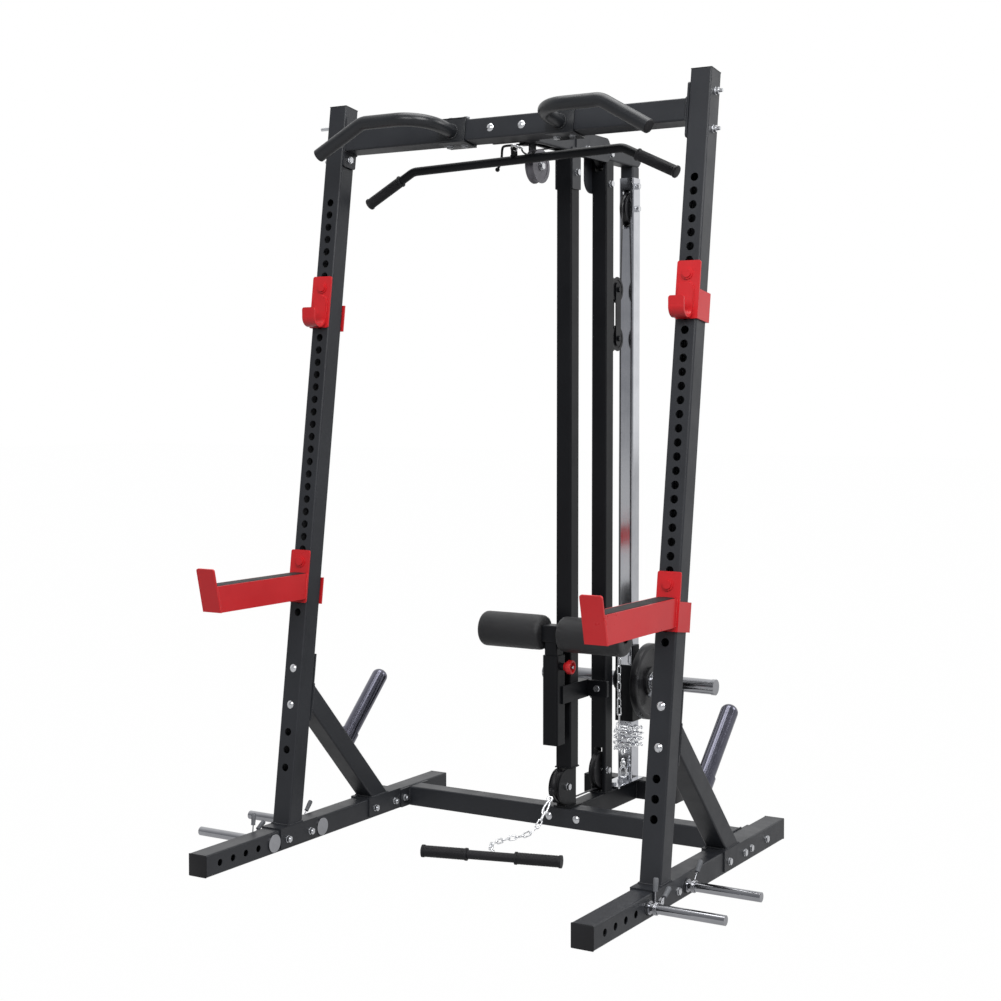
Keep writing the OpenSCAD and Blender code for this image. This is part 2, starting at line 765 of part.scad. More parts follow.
// ---------- carriage ----------
sleeve_in = th + 0.6;
sleeve_out = sleeve_in + 5;
module carriage_frame() {
  color("#1d1e21")
    difference() {
      union() {
        difference() {
          box(-sleeve_out, sleeve_out, guide_y - sleeve_out, guide_y + sleeve_out, horn_z - 128, horn_z + 48);
          box(-sleeve_in, sleeve_in, guide_y - sleeve_in, guide_y + sleeve_in, horn_z - 200, horn_z + 200);
        }
        for (s = [-1, 1])
          plate_x(s * (sleeve_out - 2.5) - 2.5, 5, guide_y - 30, guide_y + 14, horn_z - 60, horn_z + 112, 4);
        for (s = [-1, 1])
          plate_x(s * 8 - 2.5, 5, guide_y + sleeve_out - 2, fall_y + 12, horn_z + 8, horn_z + 48, 4);
        for (s = [-1, 1])
          translate([0, guide_y, horn_z]) rod_x(70, s * (sleeve_out + 3) - 3, s * (sleeve_out + 3) + 3);
      }
      translate([0, fall_y, horn_z + 38]) rod_x(8.2, -20, 20);
      box(-60, 60, guide_y - sleeve_in, guide_y + sleeve_in, horn_z + 300, horn_z + 301);
    }
  color("#c4c6ca") translate([0, fall_y, horn_z + 38]) {
    rod_x(8, -14, 14);
    rotate([0, 0, 90]) ring_x(16, 8.2, -4, 4);
    translate([0, 0, 8]) cylinder(d = 9, h = 22);
  }
}

module carriage_horns() {
  color("#c9cbd0")
    for (s = [-1, 1])
      translate([0, guide_y, horn_z]) {
        rod_x(horn_d, s > 0 ? sleeve_out + 6 : -horn_reach, s > 0 ? horn_reach : -sleeve_out - 6);
        rod_x(horn_d + 3, s > 0 ? horn_reach - 8 : -horn_reach - 3, s > 0 ? horn_reach + 3 : -horn_reach + 8);
      }
}

module weight_plate() {
  color("#202124")
    translate([0, guide_y, horn_z]) rotate([0, 90, 0])
      rotate_extrude()
        difference() {
          translate([horn_d / 2 + 1, 62]) square([plate_d / 2 - horn_d / 2 - 1, 24]);
          translate([45, 76]) square([plate_d / 2 - 45 - 16, 12]);
          translate([45, 60]) square([plate_d / 2 - 45 - 16, 7]);
        }
}

// spring collar on a pin along X: coil from x0, pin diameter d, arms at two angles
module spring_collar(x0, d, wire, arm, a1, a2) {
  r = d / 2 + 0.35 + wire / 2;
  color("#c4c6ca") {
    translate([x0, 0, 0]) rotate([0, 90, 0])
      rotate_extrude()
        for (i = [0 : 3])
          translate([r, wire / 2 + i * wire * 0.92]) circle(d = wire);
    for (k = [0, 1])
      translate([x0 + wire / 2 + k * wire * 0.92 * 3, 0, 0]) rotate([k == 0 ? a1 : a2, 0, 0])
        rod_y(wire, r - 0.6, arm - 30);
  }
  color("#8b8d92")
    for (k = [0, 1])
      translate([x0 + wire / 2 + k * wire * 0.92 * 3, 0, 0]) rotate([k == 0 ? a1 : a2, 0, 0])
        rod_y(wire + 7, arm - 34, arm);
}

module left_horn_collar() {
  translate([0, guide_y, horn_z]) mirror([1, 0, 0]) spring_collar(100, horn_d, 4, 74, -70, -120);
}

module right_horn_collar() {
  translate([0, guide_y, horn_z]) spring_collar(90, horn_d, 4, 74, -100, -150);
}

// ---------- storage pins on the feet ----------
module storage_pins() {
  color("#c9cbd0")
    for (s = [-1, 1], y = peg_y)
      side(s) translate([foot_x, y, half]) {
        rod_x(peg_d, -half - 1, half + peg_length);
        rod_x(50, -half - 4, -half);
        ring_x(34, peg_d - 1, half, half + 6);
      }
}

module peg_collar(s, i) {
  side(s) translate([foot_x + half + 15, peg_y[i], half])
    spring_collar(0, peg_d, 3.4, 88, i == 0 ? 84 : 62, 16);
}

module left_front_collar() {
  peg_collar(-1, 0);
}

module left_rear_collar() {
  peg_collar(-1, 1);
}

module right_front_collar() {
  peg_collar(1, 0);
}

module right_rear_collar() {
  peg_collar(1, 1);
}

// ---------- pull-down bar ----------
lat_x = -38;
lat_y = rest_y + 53;
lat_z = boom_z - 49;
lat_tilt = 1.7;
lat_flat = 341;
lat_arm = 176;
lat_bend = 27;

module at_bar() {
  translate([lat_x, lat_y, lat_z]) rotate([0, -lat_tilt, 0]) children();
}

lat_k = 50 * tan(lat_bend / 2);
lat_half = concat(
  [for (a = [0 : lat_bend / 5 : lat_bend + 0.1]) [lat_flat - lat_k + 50 * sin(a), 0, -50 * (1 - cos(a))]],
  [[lat_flat - lat_k + 50 * sin(lat_bend) + (lat_arm - lat_k) * cos(lat_bend), 0,
    -50 * (1 - cos(lat_bend)) - (lat_arm - lat_k) * sin(lat_bend)]]);

module lat_bar() {
  n = len(lat_half);
  color("#1a1b1e")
    at_bar() {
      sweep(concat([for (i = [n - 1 : -1 : 0]) [-lat_half[i][0], 0, lat_half[i][2]]], lat_half),
        bar_d / 2, 32, [0, 1, 0]);
      difference() {
        plate_x(-3, 6, -14, 14, 6, 38, 10);
        translate([0, 0, 26]) rod_x(11, -10, 10);
      }
    }
  color("#c9cbd0")
    at_bar() translate([0, 0, 34]) rotate([0, 90, 90])
      rotate_extrude() translate([10, 0]) circle(d = 4);
}

module lat_grips() {
  k = lat_k;
  color("#222327")
    at_bar()
      for (s = [-1, 1])
        side(s) translate([lat_flat - k + 50 * sin(lat_bend), 0, -50 * (1 - cos(lat_bend))])
          rotate([0, lat_bend, 0])
            difference() {
              union() {
                ring_x(bar_d + 6, bar_d, 36, lat_arm - k + 4);
                ring_x(bar_d + 10, bar_d, 36, 42);
                ring_x(bar_d + 10, bar_d, lat_arm - k - 4, lat_arm - k + 4);
                rod_x(bar_d + 4, lat_arm - k, lat_arm - k + 4);
              }
              rod_x(bar_d, 30, lat_arm - k);
            }
}

// ---------- leg hold-down ----------
sleeve_y0 = -107;
sleeve_y1 = -55;
sleeve_z0 = 258;
sleeve_z1 = 520;
post_w = 41;
roller_y = (sleeve_y0 + sleeve_y1) / 2;
knob_z = 488;
strap_z0 = 378;
strap_z1 = 430;
module leg_sleeve() {
  color("#2c2d31") {
    difference() {
      union() {
        translate([0, roller_y, sleeve_z0]) tube(tt, sleeve_y1 - sleeve_y0, sleeve_z1 - sleeve_z0, 4);
        translate([0, roller_y, knob_z]) rod_x(22, th, th + 12);
        for (s = [-1, 1])
          box(s * (th + 3) - 3, s * (th + 3) + 3, roller_y, th + 50, strap_z0, strap_z1);
        for (s = [-1, 1])
          plate_y(th + 44, 6, s * 62 - 34, s * 62 + 34, strap_z0 + 2, strap_z1 - 2, 4);
      }
      translate([0, roller_y, knob_z]) rod_x(10.1, 0, 60);
      for (s = [-1, 1])
        translate([s * 62, 0, (strap_z0 + strap_z1) / 2]) rod_y(bolt_hole, 40, 120);
    }
    // spacer and clamp plate behind the front column
    translate([0, th, (strap_z0 + strap_z1) / 2]) rotate([-90, 0, 0])
      tube(48, strap_z1 - strap_z0 - 4, 50, 3);
    difference() {
      plate_y(th + 50, 6, -96, 96, strap_z0 + 2, strap_z1 - 2, 4);
      for (s = [-1, 1])
        translate([s * 62, 0, (strap_z0 + strap_z1) / 2]) rod_y(bolt_hole, 40, 120);
    }
  }
}

module leg_post() {
  z0 = sleeve_z0 + 20;
  color("#2c2d31") {
    difference() {
      union() {
        translate([0, roller_y, z0]) linear_extrude(roller_z - 23 - z0) round_square(post_w, post_w + 2, 5);
        translate([-th, roller_y, roller_z]) rotate([0, 90, 0]) tube(tt, tt, tt, 3);
        for (s = [-1, 1])
          box(s * (th + 1) - 1, s * (th + 1) + 1, roller_y - th, roller_y + th, roller_z - th, roller_z + th);
      }
      translate([0, roller_y, z0 - 1]) linear_extrude(roller_z - z0 - 9)
        round_square(post_w - 5, post_w - 3, 2.5);
      for (i = [0 : 2])
        translate([0, roller_y, knob_z - 50 * i]) rod_x(10.4, 0, 40);
    }
    translate([0, roller_y, roller_z]) rod_x(25, -th - 4 - roller_length, th + 4 + roller_length);
  }
}

module roller(s) {
  color("#26272a")
    side(s) translate([0, roller_y, roller_z]) rotate([0, 90, 0])
      rotate_extrude()
        translate([12.9, th + 3]) {
          square([roller_d / 2 - 12.9 - 8, roller_length]);
          translate([0, 8]) square([roller_d / 2 - 12.9, roller_length - 16]);
          translate([roller_d / 2 - 12.9 - 8, 8]) circle(8);
          translate([roller_d / 2 - 12.9 - 8, roller_length - 8]) circle(8);
        }
}

module left_roller() {
  roller(-1);
}

module right_roller() {
  roller(1);
}

// pull knob with its plunger
module pull_knob() {
  color("#c9281f")
    translate([0, roller_y, knob_z]) {
      rod_x(26, th + 12.4, th + 20);
      difference() {
        rod_x(42, th + 20, th + 38);
        rod_x(28, th + 30, th + 40);
      }
    }
  color("#c9cbd0")
    translate([0, roller_y, knob_z]) rod_x(10, th - 3, th + 40);
}

// ---------- low bar on the floor ----------
low_mid = [16, -458.5, 17.6];
low_turn = 14.6;
module low_bar() {
  color("#1f2023")
    translate(low_mid) rotate([0, 0, low_turn]) {
      rod_x(25, -197, 197);
      difference() {
        translate([0, 19, 0]) cylinder(d = 26, h = 6, center = true);
        translate([0, 21, 0]) cylinder(d = 13, h = 20, center = true);
      }
      for (s = [-1, 1])
        side(s) {
          ring_x(31, 24, 70, 194);
          rod_x(35, 192, 199);
          ring_x(35, 24, 68, 74);
        }
    }
}

module low_chain() {
  color("#c4c6ca")
    sweep(concat(smooth([[3.5, -428.8, 17], [-24, -388, 9], [-64, -322, 8.2], [-58, -250, 8.2],
      [-34, -190, 9], [-18, -150, 26], [-6, -115, 74], ball - [0, 6, 13]], 5), [ball - [0, 6, 13]]), 7);
  color("#2a2b2e") translate(ball) sphere(r = 9);
}

// ---------- bar hooks and spotter arms ----------
hang_x1 = half + rest_gap;
module hanger_plate(a) {
  // front plate with its pin, outer flange and rear lip
  difference() {
    union() {
      translate([2.7, -rest_gap, a - 41]) rotate([90, 0, 0])
        linear_extrude(plate_t) round_square(2 * half + 5.4, 150, 6);
      box(hang_x1, hang_x1 + plate_t, -rest_gap - plate_t, frame_tube + 7, a - 116, a - 40);
      box(-half - 4, hang_x1 + plate_t, frame_tube + 2, frame_tube + 7, a - 116, a - 40);
    }
    translate([0, 0, a]) rod_y(20, -12, 0);
  }
  translate([0, 0, a]) rod_y(pin_d, -12, frame_tube - 12);
  translate([0, 0, a]) rod_y(31, -rest_gap - plate_t - 3, -rest_gap - plate_t);
}

module hook_cup(a) {
  w = 43;
  f = rest_gap + plate_t;
  r = 22;
  t = 6;
  lip = 23;
  z0 = a - 90;
  translate([-w / 2, 0, 0]) rotate([90, 0, 90]) linear_extrude(w)
    translate([-f - t - r, z0])
      difference() {
        circle(r + t);
        circle(r);
        translate([-60, 0]) square([120, 60]);
      }
  // back of the cup, round at the top
  translate([0, -f, 0]) rotate([90, 0, 0]) linear_extrude(t) {
    translate([-w / 2, z0]) square([w, 68 - w / 2]);
    translate([0, z0 + 68 - w / 2]) circle(w / 2);
  }
  // lip, leaning forward, with rounded corners
  intersection() {
    translate([-w / 2 - 2, 0, 0]) rotate([90, 0, 90]) linear_extrude(w + 4)
      translate([-f - t - 2 * r, z0]) rotate(9) translate([-t, -1]) square([t, lip + 3]);
    translate([0, 0, z0 + lip - 40]) rotate([90, 0, 0]) linear_extrude(120) round_square(w, 80, 7);
  }
}

module bar_hook(s) {
  color("#c9201f") at_upright(s) side(s) {
    hanger_plate(hole_along(hook_hole));
    hook_cup(hole_along(hook_hole));
  }
}

module left_hook() {
  bar_hook(-1);
}

module right_hook() {
  bar_hook(1);
}

arm_h = 72;
arm_w = 58;
arm_reach = 385;
arm_drop = 103;
arm_z = round(up_z(hole_along(spotter_hole), 0)) - arm_drop;
arm_front = round(up_y(hole_along(spotter_hole), 0)) - arm_reach;
module arm_end(s) {
  translate([s * foot_x, arm_front, arm_z]) rotate([13, 0, 0]) children();
}

module spotter(s) {
  a = hole_along(spotter_hole);
  f = rest_gap + plate_t;
  color("#c9201f") {
    at_upright(s) side(s) hanger_plate(a);
    difference() {
      translate([s * foot_x, 0, 0])
        difference() {
          box(-arm_w / 2, arm_w / 2, arm_front - 30, base_y + 200, arm_z, arm_z + arm_h);
          box(-arm_w / 2 + 4, arm_w / 2 - 4, arm_front - 31, base_y + 201, arm_z + 4, arm_z + arm_h + 1);
        }
      at_upright(s) box(-100, 100, -f + 2, 400, 0, upright_length);
      arm_end(s) box(-60, 60, -80, -3, -60, 160);
    }
    difference() {
      arm_end(s) translate([0, 0, 46]) rotate([90, 0, 0]) linear_extrude(5)
        round_square(arm_w + 2, 152, 6);
      box(s * foot_x - 60, s * foot_x + 60, arm_front - 60, arm_front + 60, arm_z - 60, arm_z);
    }
  }
}

module spotter_pad(s) {
  f = rest_gap + plate_t;
  color("#1c1d1f")
    difference() {
      translate([s * foot_x, 0, 0])
        box(-arm_w / 2 + 4, arm_w / 2 - 4, arm_front - 30, base_y + 200, arm_z + arm_h - 22,
          arm_z + arm_h + 1.5);
      at_upright(s) box(-100, 100, -f, 400, 0, upright_length);
      arm_end(s) box(-60, 60, -80, 0, -60, 160);
    }
}

module left_spotter() {
  spotter(-1);
}

module right_spotter() {
  spotter(1);
}

module left_spotter_pad() {
  spotter_pad(-1);
}

module right_spotter_pad() {
  spotter_pad(1);
}

// ---------- fasteners ----------
module rack_bolts() {
  color("#c4c6ca") {
    for (s = [-1, 1]) side(s) {
      for (b = [-saddle_bolt, saddle_bolt], c = [saddle_y, brace_saddle_y])
        translate([foot_x + half + saddle_t, c + b, half]) rotate([0, -90, 0])
          hex_bolt(frame_tube + 2 * saddle_t);
      for (y = [-ear_bolt, ear_bolt])
        translate([foot_x + half, y, half]) rotate([0, -90, 0]) hex_bolt(frame_tube + 6);
      for (a = [-51.5, 51.5])
        at_upright(1, brace_along + a, 0) rotate([-90, 0, 0]) dome_bolt(frame_tube + 6, 10);
      for (a = [-beam_bolt, beam_bolt])
        at_upright(1, beam_along + a, half) translate([-half - 6, 0, 0]) rotate([0, 90, 0])
          hex_bolt(frame_tube + 6, s < 0 && a > 0 ? 46 : 20);
      for (x = [-clamp_bolt, clamp_bolt])
        at_upright(0, beam_along, 0) translate([grip_x + x, half, -half - plate_t])
          hex_bolt(frame_tube + 2 * plate_t, 8);
    }
    for (x = [-50, 50])
      at_upright(0, beam_along, 0) translate([x, 0, 0]) rotate([-90, 0, 0])
        dome_bolt(frame_tube + boom_plate, 8);
  }
}

module tower_bolts() {
  color("#c4c6ca") {
    for (s = [-1, 1])
      translate([s * base_bolt, -half, half]) rotate([-90, 0, 0]) dome_bolt(frame_tube + 6, 8);
    translate([14.5, front_pulley[0], front_pulley[1]]) rotate([0, -90, 0]) hex_bolt(33, 6);
    translate([-th - 4, rear_pulley[0], rear_pulley[1]]) rotate([0, 90, 0]) hex_bolt(tt + 4, 6);
    translate([-th, 60, boom_z + plate_bolt]) rotate([0, 90, 0]) hex_bolt(tt + 4, 6);
    translate([-th - 4, 0, boom_z - 60]) rotate([0, 90, 0]) hex_bolt(tt + 8, 6);
    translate([-th - 4, column_step, boom_z - 70]) rotate([0, 90, 0]) hex_bolt(tt + 4, 6);
    translate([-th, guide_y, guide_top - 25]) rotate([0, 90, 0]) hex_bolt(tt, 6);
    translate([-th, guide_y, guide_wheel[1]]) rotate([0, 90, 0]) hex_bolt(tt, 6);
    translate([-cheek - 2, low_front[0], low_front[1]]) rotate([0, 90, 0]) hex_bolt(2 * cheek + 4, 6);
    translate([-th, low_rear[0], low_rear[1]]) rotate([0, 90, 0]) hex_bolt(tt, 6);
    for (s = [-1, 1])
      translate([s * 62, th + 44, (strap_z0 + strap_z1) / 2]) rotate([-90, 0, 0]) hex_bolt(12, 8);
    for (y = [300, 345])
      translate([0, y, frame_tube + 6]) rotate([180, 0, 0]) hex_bolt(6 + frame_wall, 4);
  }
}

left_foot();
right_foot();
left_upright();
right_upright();
left_brace();
right_brace();
storage_horns();
tube_caps();
lower_crossbeam();
upper_crossbeam();
left_pullup_grip();
right_pullup_grip();
bar_rest();
boom();
front_column();
rear_column();
tower_base();
guide_post();
front_top_pulley();
rear_top_pulley();
guide_pulley();
low_front_pulley();
low_rear_pulley();
float_upper_pulley();
float_lower_pulley();
float_block();
fixed_cables();
upper_strands();
lower_strands();
block_cables();
carriage_strand();
bar_strand();
anchor_chain();
carriage_frame();
carriage_horns();
weight_plate();
left_horn_collar();
right_horn_collar();
storage_pins();
left_front_collar();
left_rear_collar();
right_front_collar();
right_rear_collar();
lat_bar();
lat_grips();
leg_sleeve();
leg_post();
left_roller();
right_roller();
pull_knob();
low_bar();
low_chain();
left_hook();
right_hook();
left_spotter();
right_spotter();
left_spotter_pad();
right_spotter_pad();
rack_bolts();
tower_bolts();
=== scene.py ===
"""Looks for the half rack with its cable tower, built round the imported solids."""
import json
import math
from math import cos, pi, sin

import bpy
import bmesh
from mathutils import Matrix, Vector, noise


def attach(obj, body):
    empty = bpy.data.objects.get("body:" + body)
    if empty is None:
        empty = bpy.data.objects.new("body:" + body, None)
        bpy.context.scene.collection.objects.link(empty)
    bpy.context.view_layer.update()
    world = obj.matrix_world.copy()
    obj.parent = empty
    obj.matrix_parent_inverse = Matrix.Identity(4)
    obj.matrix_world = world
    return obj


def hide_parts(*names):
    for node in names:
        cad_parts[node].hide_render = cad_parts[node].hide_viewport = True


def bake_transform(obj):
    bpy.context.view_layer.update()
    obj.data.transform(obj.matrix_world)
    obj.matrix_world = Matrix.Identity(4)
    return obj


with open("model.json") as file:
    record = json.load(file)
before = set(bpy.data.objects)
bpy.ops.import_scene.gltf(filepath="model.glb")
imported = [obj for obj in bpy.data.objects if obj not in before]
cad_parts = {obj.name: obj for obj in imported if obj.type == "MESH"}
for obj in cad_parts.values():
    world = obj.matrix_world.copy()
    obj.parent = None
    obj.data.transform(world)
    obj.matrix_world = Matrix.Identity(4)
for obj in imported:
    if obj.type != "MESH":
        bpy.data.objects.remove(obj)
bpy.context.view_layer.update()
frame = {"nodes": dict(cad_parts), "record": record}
solids = frame["nodes"]
MM = 0.001
ROOT = "frame"


def radians(*degrees):
    return tuple(math.radians(d) for d in degrees)


def link(obj):
    bpy.context.scene.collection.objects.link(obj)


# ---------- camera ----------
def make_camera():
    data = bpy.data.cameras.new("camera")
    data.sensor_width = 36.0
    data.lens = 61.51
    data.shift_y = -0.0367
    data.clip_start, data.clip_end = 0.1, 60
    camera = bpy.data.objects.new("camera", data)
    camera.location = (2.4222, -4.4069, 1.2763)
    camera.rotation_euler = radians(90 - 2.304, 0, 31.044)
    link(camera)
    bpy.context.scene.camera = camera


make_camera()


# ---------- node trees written as sums ----------
class Socket:
    """An output of a node. Sums on it add their Math nodes."""

    def __init__(self, graph, out):
        self.graph, self.out = graph, out

    def other(self, name):
        """Another output of the same node."""
        return Socket(self.graph, self.out.node.outputs[name])

    def math(self, operation, a, b=0.0):
        return self.graph.node("ShaderNodeMath", {"operation": operation}, {0: a, 1: b})

    def __add__(self, other):
        return self.math("ADD", self, other)

    __radd__ = __add__

    def __sub__(self, other):
        return self.math("SUBTRACT", self, other)

    def __rsub__(self, other):
        return self.math("SUBTRACT", other, self)

    def __mul__(self, other):
        return self.math("MULTIPLY", self, other)

    __rmul__ = __mul__

    def __truediv__(self, other):
        return self.math("DIVIDE", self, other)

    def __mod__(self, other):
        return self.math("MODULO", self, other)

    def __pow__(self, other):
        return self.math("POWER", self, other)

    def over(self, low, high, start=0.0, end=1.0):
        """Straight ramp from start to end as the value goes from low to high."""
        return self.graph.node(
            "ShaderNodeMapRange", {"clamp": True}, {0: self, 1: low, 2: high, 3: start, 4: end}
        )


class Graph:
    """A node tree, with one way to add any node."""

    def __init__(self, tree):
        self.tree = tree

    def node(self, kind, settings=None, inputs=None, output=0):
        made = self.tree.nodes.new(kind)
        for key, value in (settings or {}).items():
            if key == "stops":
                ramp = made.color_ramp
                for stop, (place, colour) in zip(
                    [ramp.elements[0], ramp.elements[1]] + [ramp.elements.new(0.5) for _ in value[2:]], value
                ):
                    stop.position, stop.color = place, colour
            else:
                setattr(made, key, value)
        for key, value in (inputs or {}).items():
            self.join(value, made.inputs[key])
        return Socket(self, made.outputs[output])

    def join(self, value, socket):
        if isinstance(value, Socket):
            self.tree.links.new(value.out, socket)
        else:
            socket.default_value = value


class Finish(Graph):
    """A material with one Principled shader."""

    def __init__(self, name, **values):
        self.material = bpy.data.materials.new(name)
        self.material.use_nodes = True
        super().__init__(self.material.node_tree)
        self.shader = self.tree.nodes["Principled BSDF"]
        for key, value in values.items():
            self.set(key.replace("_", " "), value)
        self.place = self.node("ShaderNodeTexCoord", output="Object")

    def set(self, key, value):
        self.join(value, self.shader.inputs[key])

    def stretched(self, *scale):
        return self.node("ShaderNodeMapping", None, {"Vector": self.place, "Scale": scale})

    def noise(self, scale, detail=2.0, rough=0.5, where=None, distortion=0.0):
        return self.node(
            "ShaderNodeTexNoise",
            None,
            {
                "Vector": where or self.place, "Scale": scale, "Detail": detail, "Roughness": rough,
                "Distortion": distortion,
            },
        )

    def cells(self, scale, where=None, feature="F1", output=0):
        inputs = {"Vector": where or self.place, "Scale": scale}
        return self.node("ShaderNodeTexVoronoi", {"feature": feature}, inputs, output)

    def mix(self, mask, a, b):
        return self.node("ShaderNodeMix", {"data_type": "RGBA"}, {0: mask, 6: a, 7: b}, 2)

    def bump(self, height, distance, strength=1.0):
        inputs = {"Height": height, "Distance": distance, "Strength": strength}
        self.set("Normal", self.node("ShaderNodeBump", None, inputs))


def rgb(r, g, b):
    return (r, g, b, 1.0)


def powder_coat(name, colour, lift, rough, peel=1.0, shine=0.35):
    """Baked powder paint: a fine orange peel, faint clouds of tone and gloss, and dust rubbed thin."""
    f = Finish(name, IOR=1.5, Specular_IOR_Level=shine)
    cloud = f.noise(3.5, 4, 0.6)
    speck = f.noise(420, 2, 0.6)
    tone = cloud.over(0.35, 0.68) * 0.75 + speck.over(0.35, 0.7) * 0.25
    f.set("Base Color", f.mix(tone, rgb(*colour), rgb(*lift)))
    f.set("Roughness", f.noise(11, 5, 0.65).over(0.3, 0.72, rough - 0.07, rough + 0.08))
    orange = f.noise(310, 2, 0.5) * 0.7 + f.noise(950, 2, 0.5) * 0.3
    f.bump(orange, 0.00025 * peel, 0.55)
    return f.material


def plated(name, dark, light, rough, streaks, grain=0.5):
    """Chrome or zinc plate with fine drawn lines, rub marks and a little haze."""
    f = Finish(name, Metallic=1.0)
    drawn = f.noise(1.0, 4, 0.7, f.stretched(*streaks))
    haze = f.noise(9, 5, 0.7)
    f.set("Base Color", f.mix(haze.over(0.3, 0.75) * 0.7 + drawn.over(0.3, 0.7) * 0.3, rgb(*dark), rgb(*light)))
    f.set("Roughness", drawn.over(0.3, 0.75, rough * 0.7, rough * 1.4) + haze.over(0.45, 0.8, 0, rough * 0.6))
    f.bump(drawn * 0.6 + f.noise(700, 2) * 0.4, 0.00008, grain)
    return f.material


def moulded(name, colour, lift, rough, scale=600, depth=0.00012):
    """Moulded plastic or rubber with a fine spark-eroded grain and worn tops."""
    f = Finish(name, IOR=1.48, Specular_IOR_Level=0.3)
    patch = f.noise(14, 4, 0.6)
    f.set("Base Color", f.mix(patch.over(0.3, 0.75), rgb(*colour), rgb(*lift)))
    f.set("Roughness", patch.over(0.3, 0.7, rough - 0.06, rough + 0.1))
    f.bump(f.noise(scale, 3, 0.6) * 0.7 + f.cells(scale * 1.6) * 0.3, depth, 0.7)
    return f.material


def foam_skin(name):
    """Closed-cell foam: a fine pebbled skin, pores and lengthwise creases."""
    f = Finish(name, IOR=1.45, Specular_IOR_Level=0.5, Sheen_Weight=0.08, Sheen_Roughness=0.4)
    pores = f.cells(620)
    crease = f.noise(1.0, 5, 0.62, f.stretched(16, 60, 60), 0.6)
    rubbed = f.noise(12, 5, 0.6)
    # Lighter where the rubbed noise is high, which is wear, and darker in the pore pits that the bump sinks, which is
    # painted shade.
    worn = rubbed.over(0.32, 0.72) * 0.7 + pores.over(0.1, 0.5) * 0.3
    f.set("Base Color", f.mix(worn, rgb(0.006, 0.006, 0.007), rgb(0.016, 0.0165, 0.018)))
    f.set("Roughness", rubbed.over(0.3, 0.7, 0.42, 0.58))
    f.bump(pores * 0.45 + crease * 0.9 + f.noise(1400, 2) * 0.15, 0.0011, 0.7)
    return f.material


def cable_skin(name):
    """Nylon coat over laid steel wires: the lay shows through as slanted ridges."""
    f = Finish(name, IOR=1.5, Coat_Weight=0.35)
    bands = {"wave_type": "BANDS", "bands_direction": "DIAGONAL"}
    turn = f.node("ShaderNodeTexWave", bands, {"Vector": f.place, "Scale": 150, "Distortion": 0.4}, 1)
    # The colour follows the lay. It is lighter on the ridges and darker in the grooves between them, which is painted
    # shade.
    f.set("Base Color", f.mix(turn.over(0.3, 0.8), rgb(0.008, 0.008, 0.01), rgb(0.028, 0.028, 0.031)))
    f.set("Roughness", f.noise(60, 3).over(0.3, 0.7, 0.28, 0.42))
    f.bump(turn, 0.0002, 0.5)
    return f.material


PAINT = powder_coat("charcoal powder coat", (0.015, 0.0162, 0.0195), (0.023, 0.025, 0.0295), 0.42)
BLACK = powder_coat("black powder coat", (0.0040, 0.0044, 0.0056), (0.008, 0.0087, 0.0104), 0.36, 1.0, 0.16)
GREY = powder_coat("dark grip coat", (0.009, 0.010, 0.012), (0.016, 0.0175, 0.020), 0.34, 1.6, 0.4)
RED = powder_coat("red powder coat", (0.50, 0.011, 0.015), (0.60, 0.017, 0.021), 0.33, 0.8, 0.4)
CHROME = plated("bright chrome", (0.50, 0.51, 0.54), (0.68, 0.69, 0.72), 0.10, (900, 900, 6), 0.25)
# Chrome with a darker base colour than CHROME: painted shade, standing in for the dark surroundings that the pins,
# springs and plunger reflect.
SHADED_CHROME = plated("pin chrome", (0.28, 0.285, 0.30), (0.46, 0.465, 0.49), 0.09, (6, 700, 700), 0.12)
HORN_CHROME = plated("black chrome", (0.095, 0.095, 0.120), (0.165, 0.165, 0.205), 0.15, (500, 60, 60), 0.12)
# Zinc plate with a lighter base colour than ZINC: painted light, standing in for light on the chains and the anchor
# hook, which sit in shade.
LIT_ZINC = plated("bright zinc plate", (0.74, 0.75, 0.77), (0.93, 0.94, 0.95), 0.16, (120, 120, 120), 0.5)
ZINC = plated("zinc plate", (0.52, 0.53, 0.55), (0.78, 0.79, 0.81), 0.24, (120, 120, 120), 0.8)
PLASTIC = moulded("black moulded plastic", (0.006, 0.006, 0.007), (0.013, 0.013, 0.015), 0.42)
NYLON = moulded("grey nylon", (0.13, 0.125, 0.14), (0.19, 0.185, 0.20), 0.45, 300)
RUBBER = moulded("black rubber", (0.006, 0.006, 0.0072), (0.012, 0.012, 0.0145), 0.54, 420, 0.0002)
PLATE = moulded("rubber coated plate", (0.005, 0.005, 0.006), (0.012, 0.012, 0.0135), 0.30, 260, 0.0003)
PAD = moulded("spotter pad rubber", (0.006, 0.006, 0.0065), (0.013, 0.013, 0.014), 0.62, 900, 0.0003)
CLIP_GREY = moulded("grey collar grip", (0.10, 0.105, 0.115), (0.16, 0.165, 0.175), 0.5, 500)
FOAM = foam_skin("black foam")
CABLE = cable_skin("coated cable")

by_slot = {
    "frame": PAINT, "black": BLACK, "grip_paint": GREY, "chrome": SHADED_CHROME, "dark_chrome": HORN_CHROME,
    "zinc": ZINC, "red": RED, "plastic": PLASTIC, "grey_plastic": NYLON, "cable": CABLE,
    "rubber": RUBBER, "foam": FOAM,
}
for part in frame["record"]["subparts"]:
    solid = solids[part["node"]]
    solid.data.materials.clear()
    solid.data.materials.append(by_slot[part["material_slot"]])
solids["guide_post"].data.materials[0] = CHROME


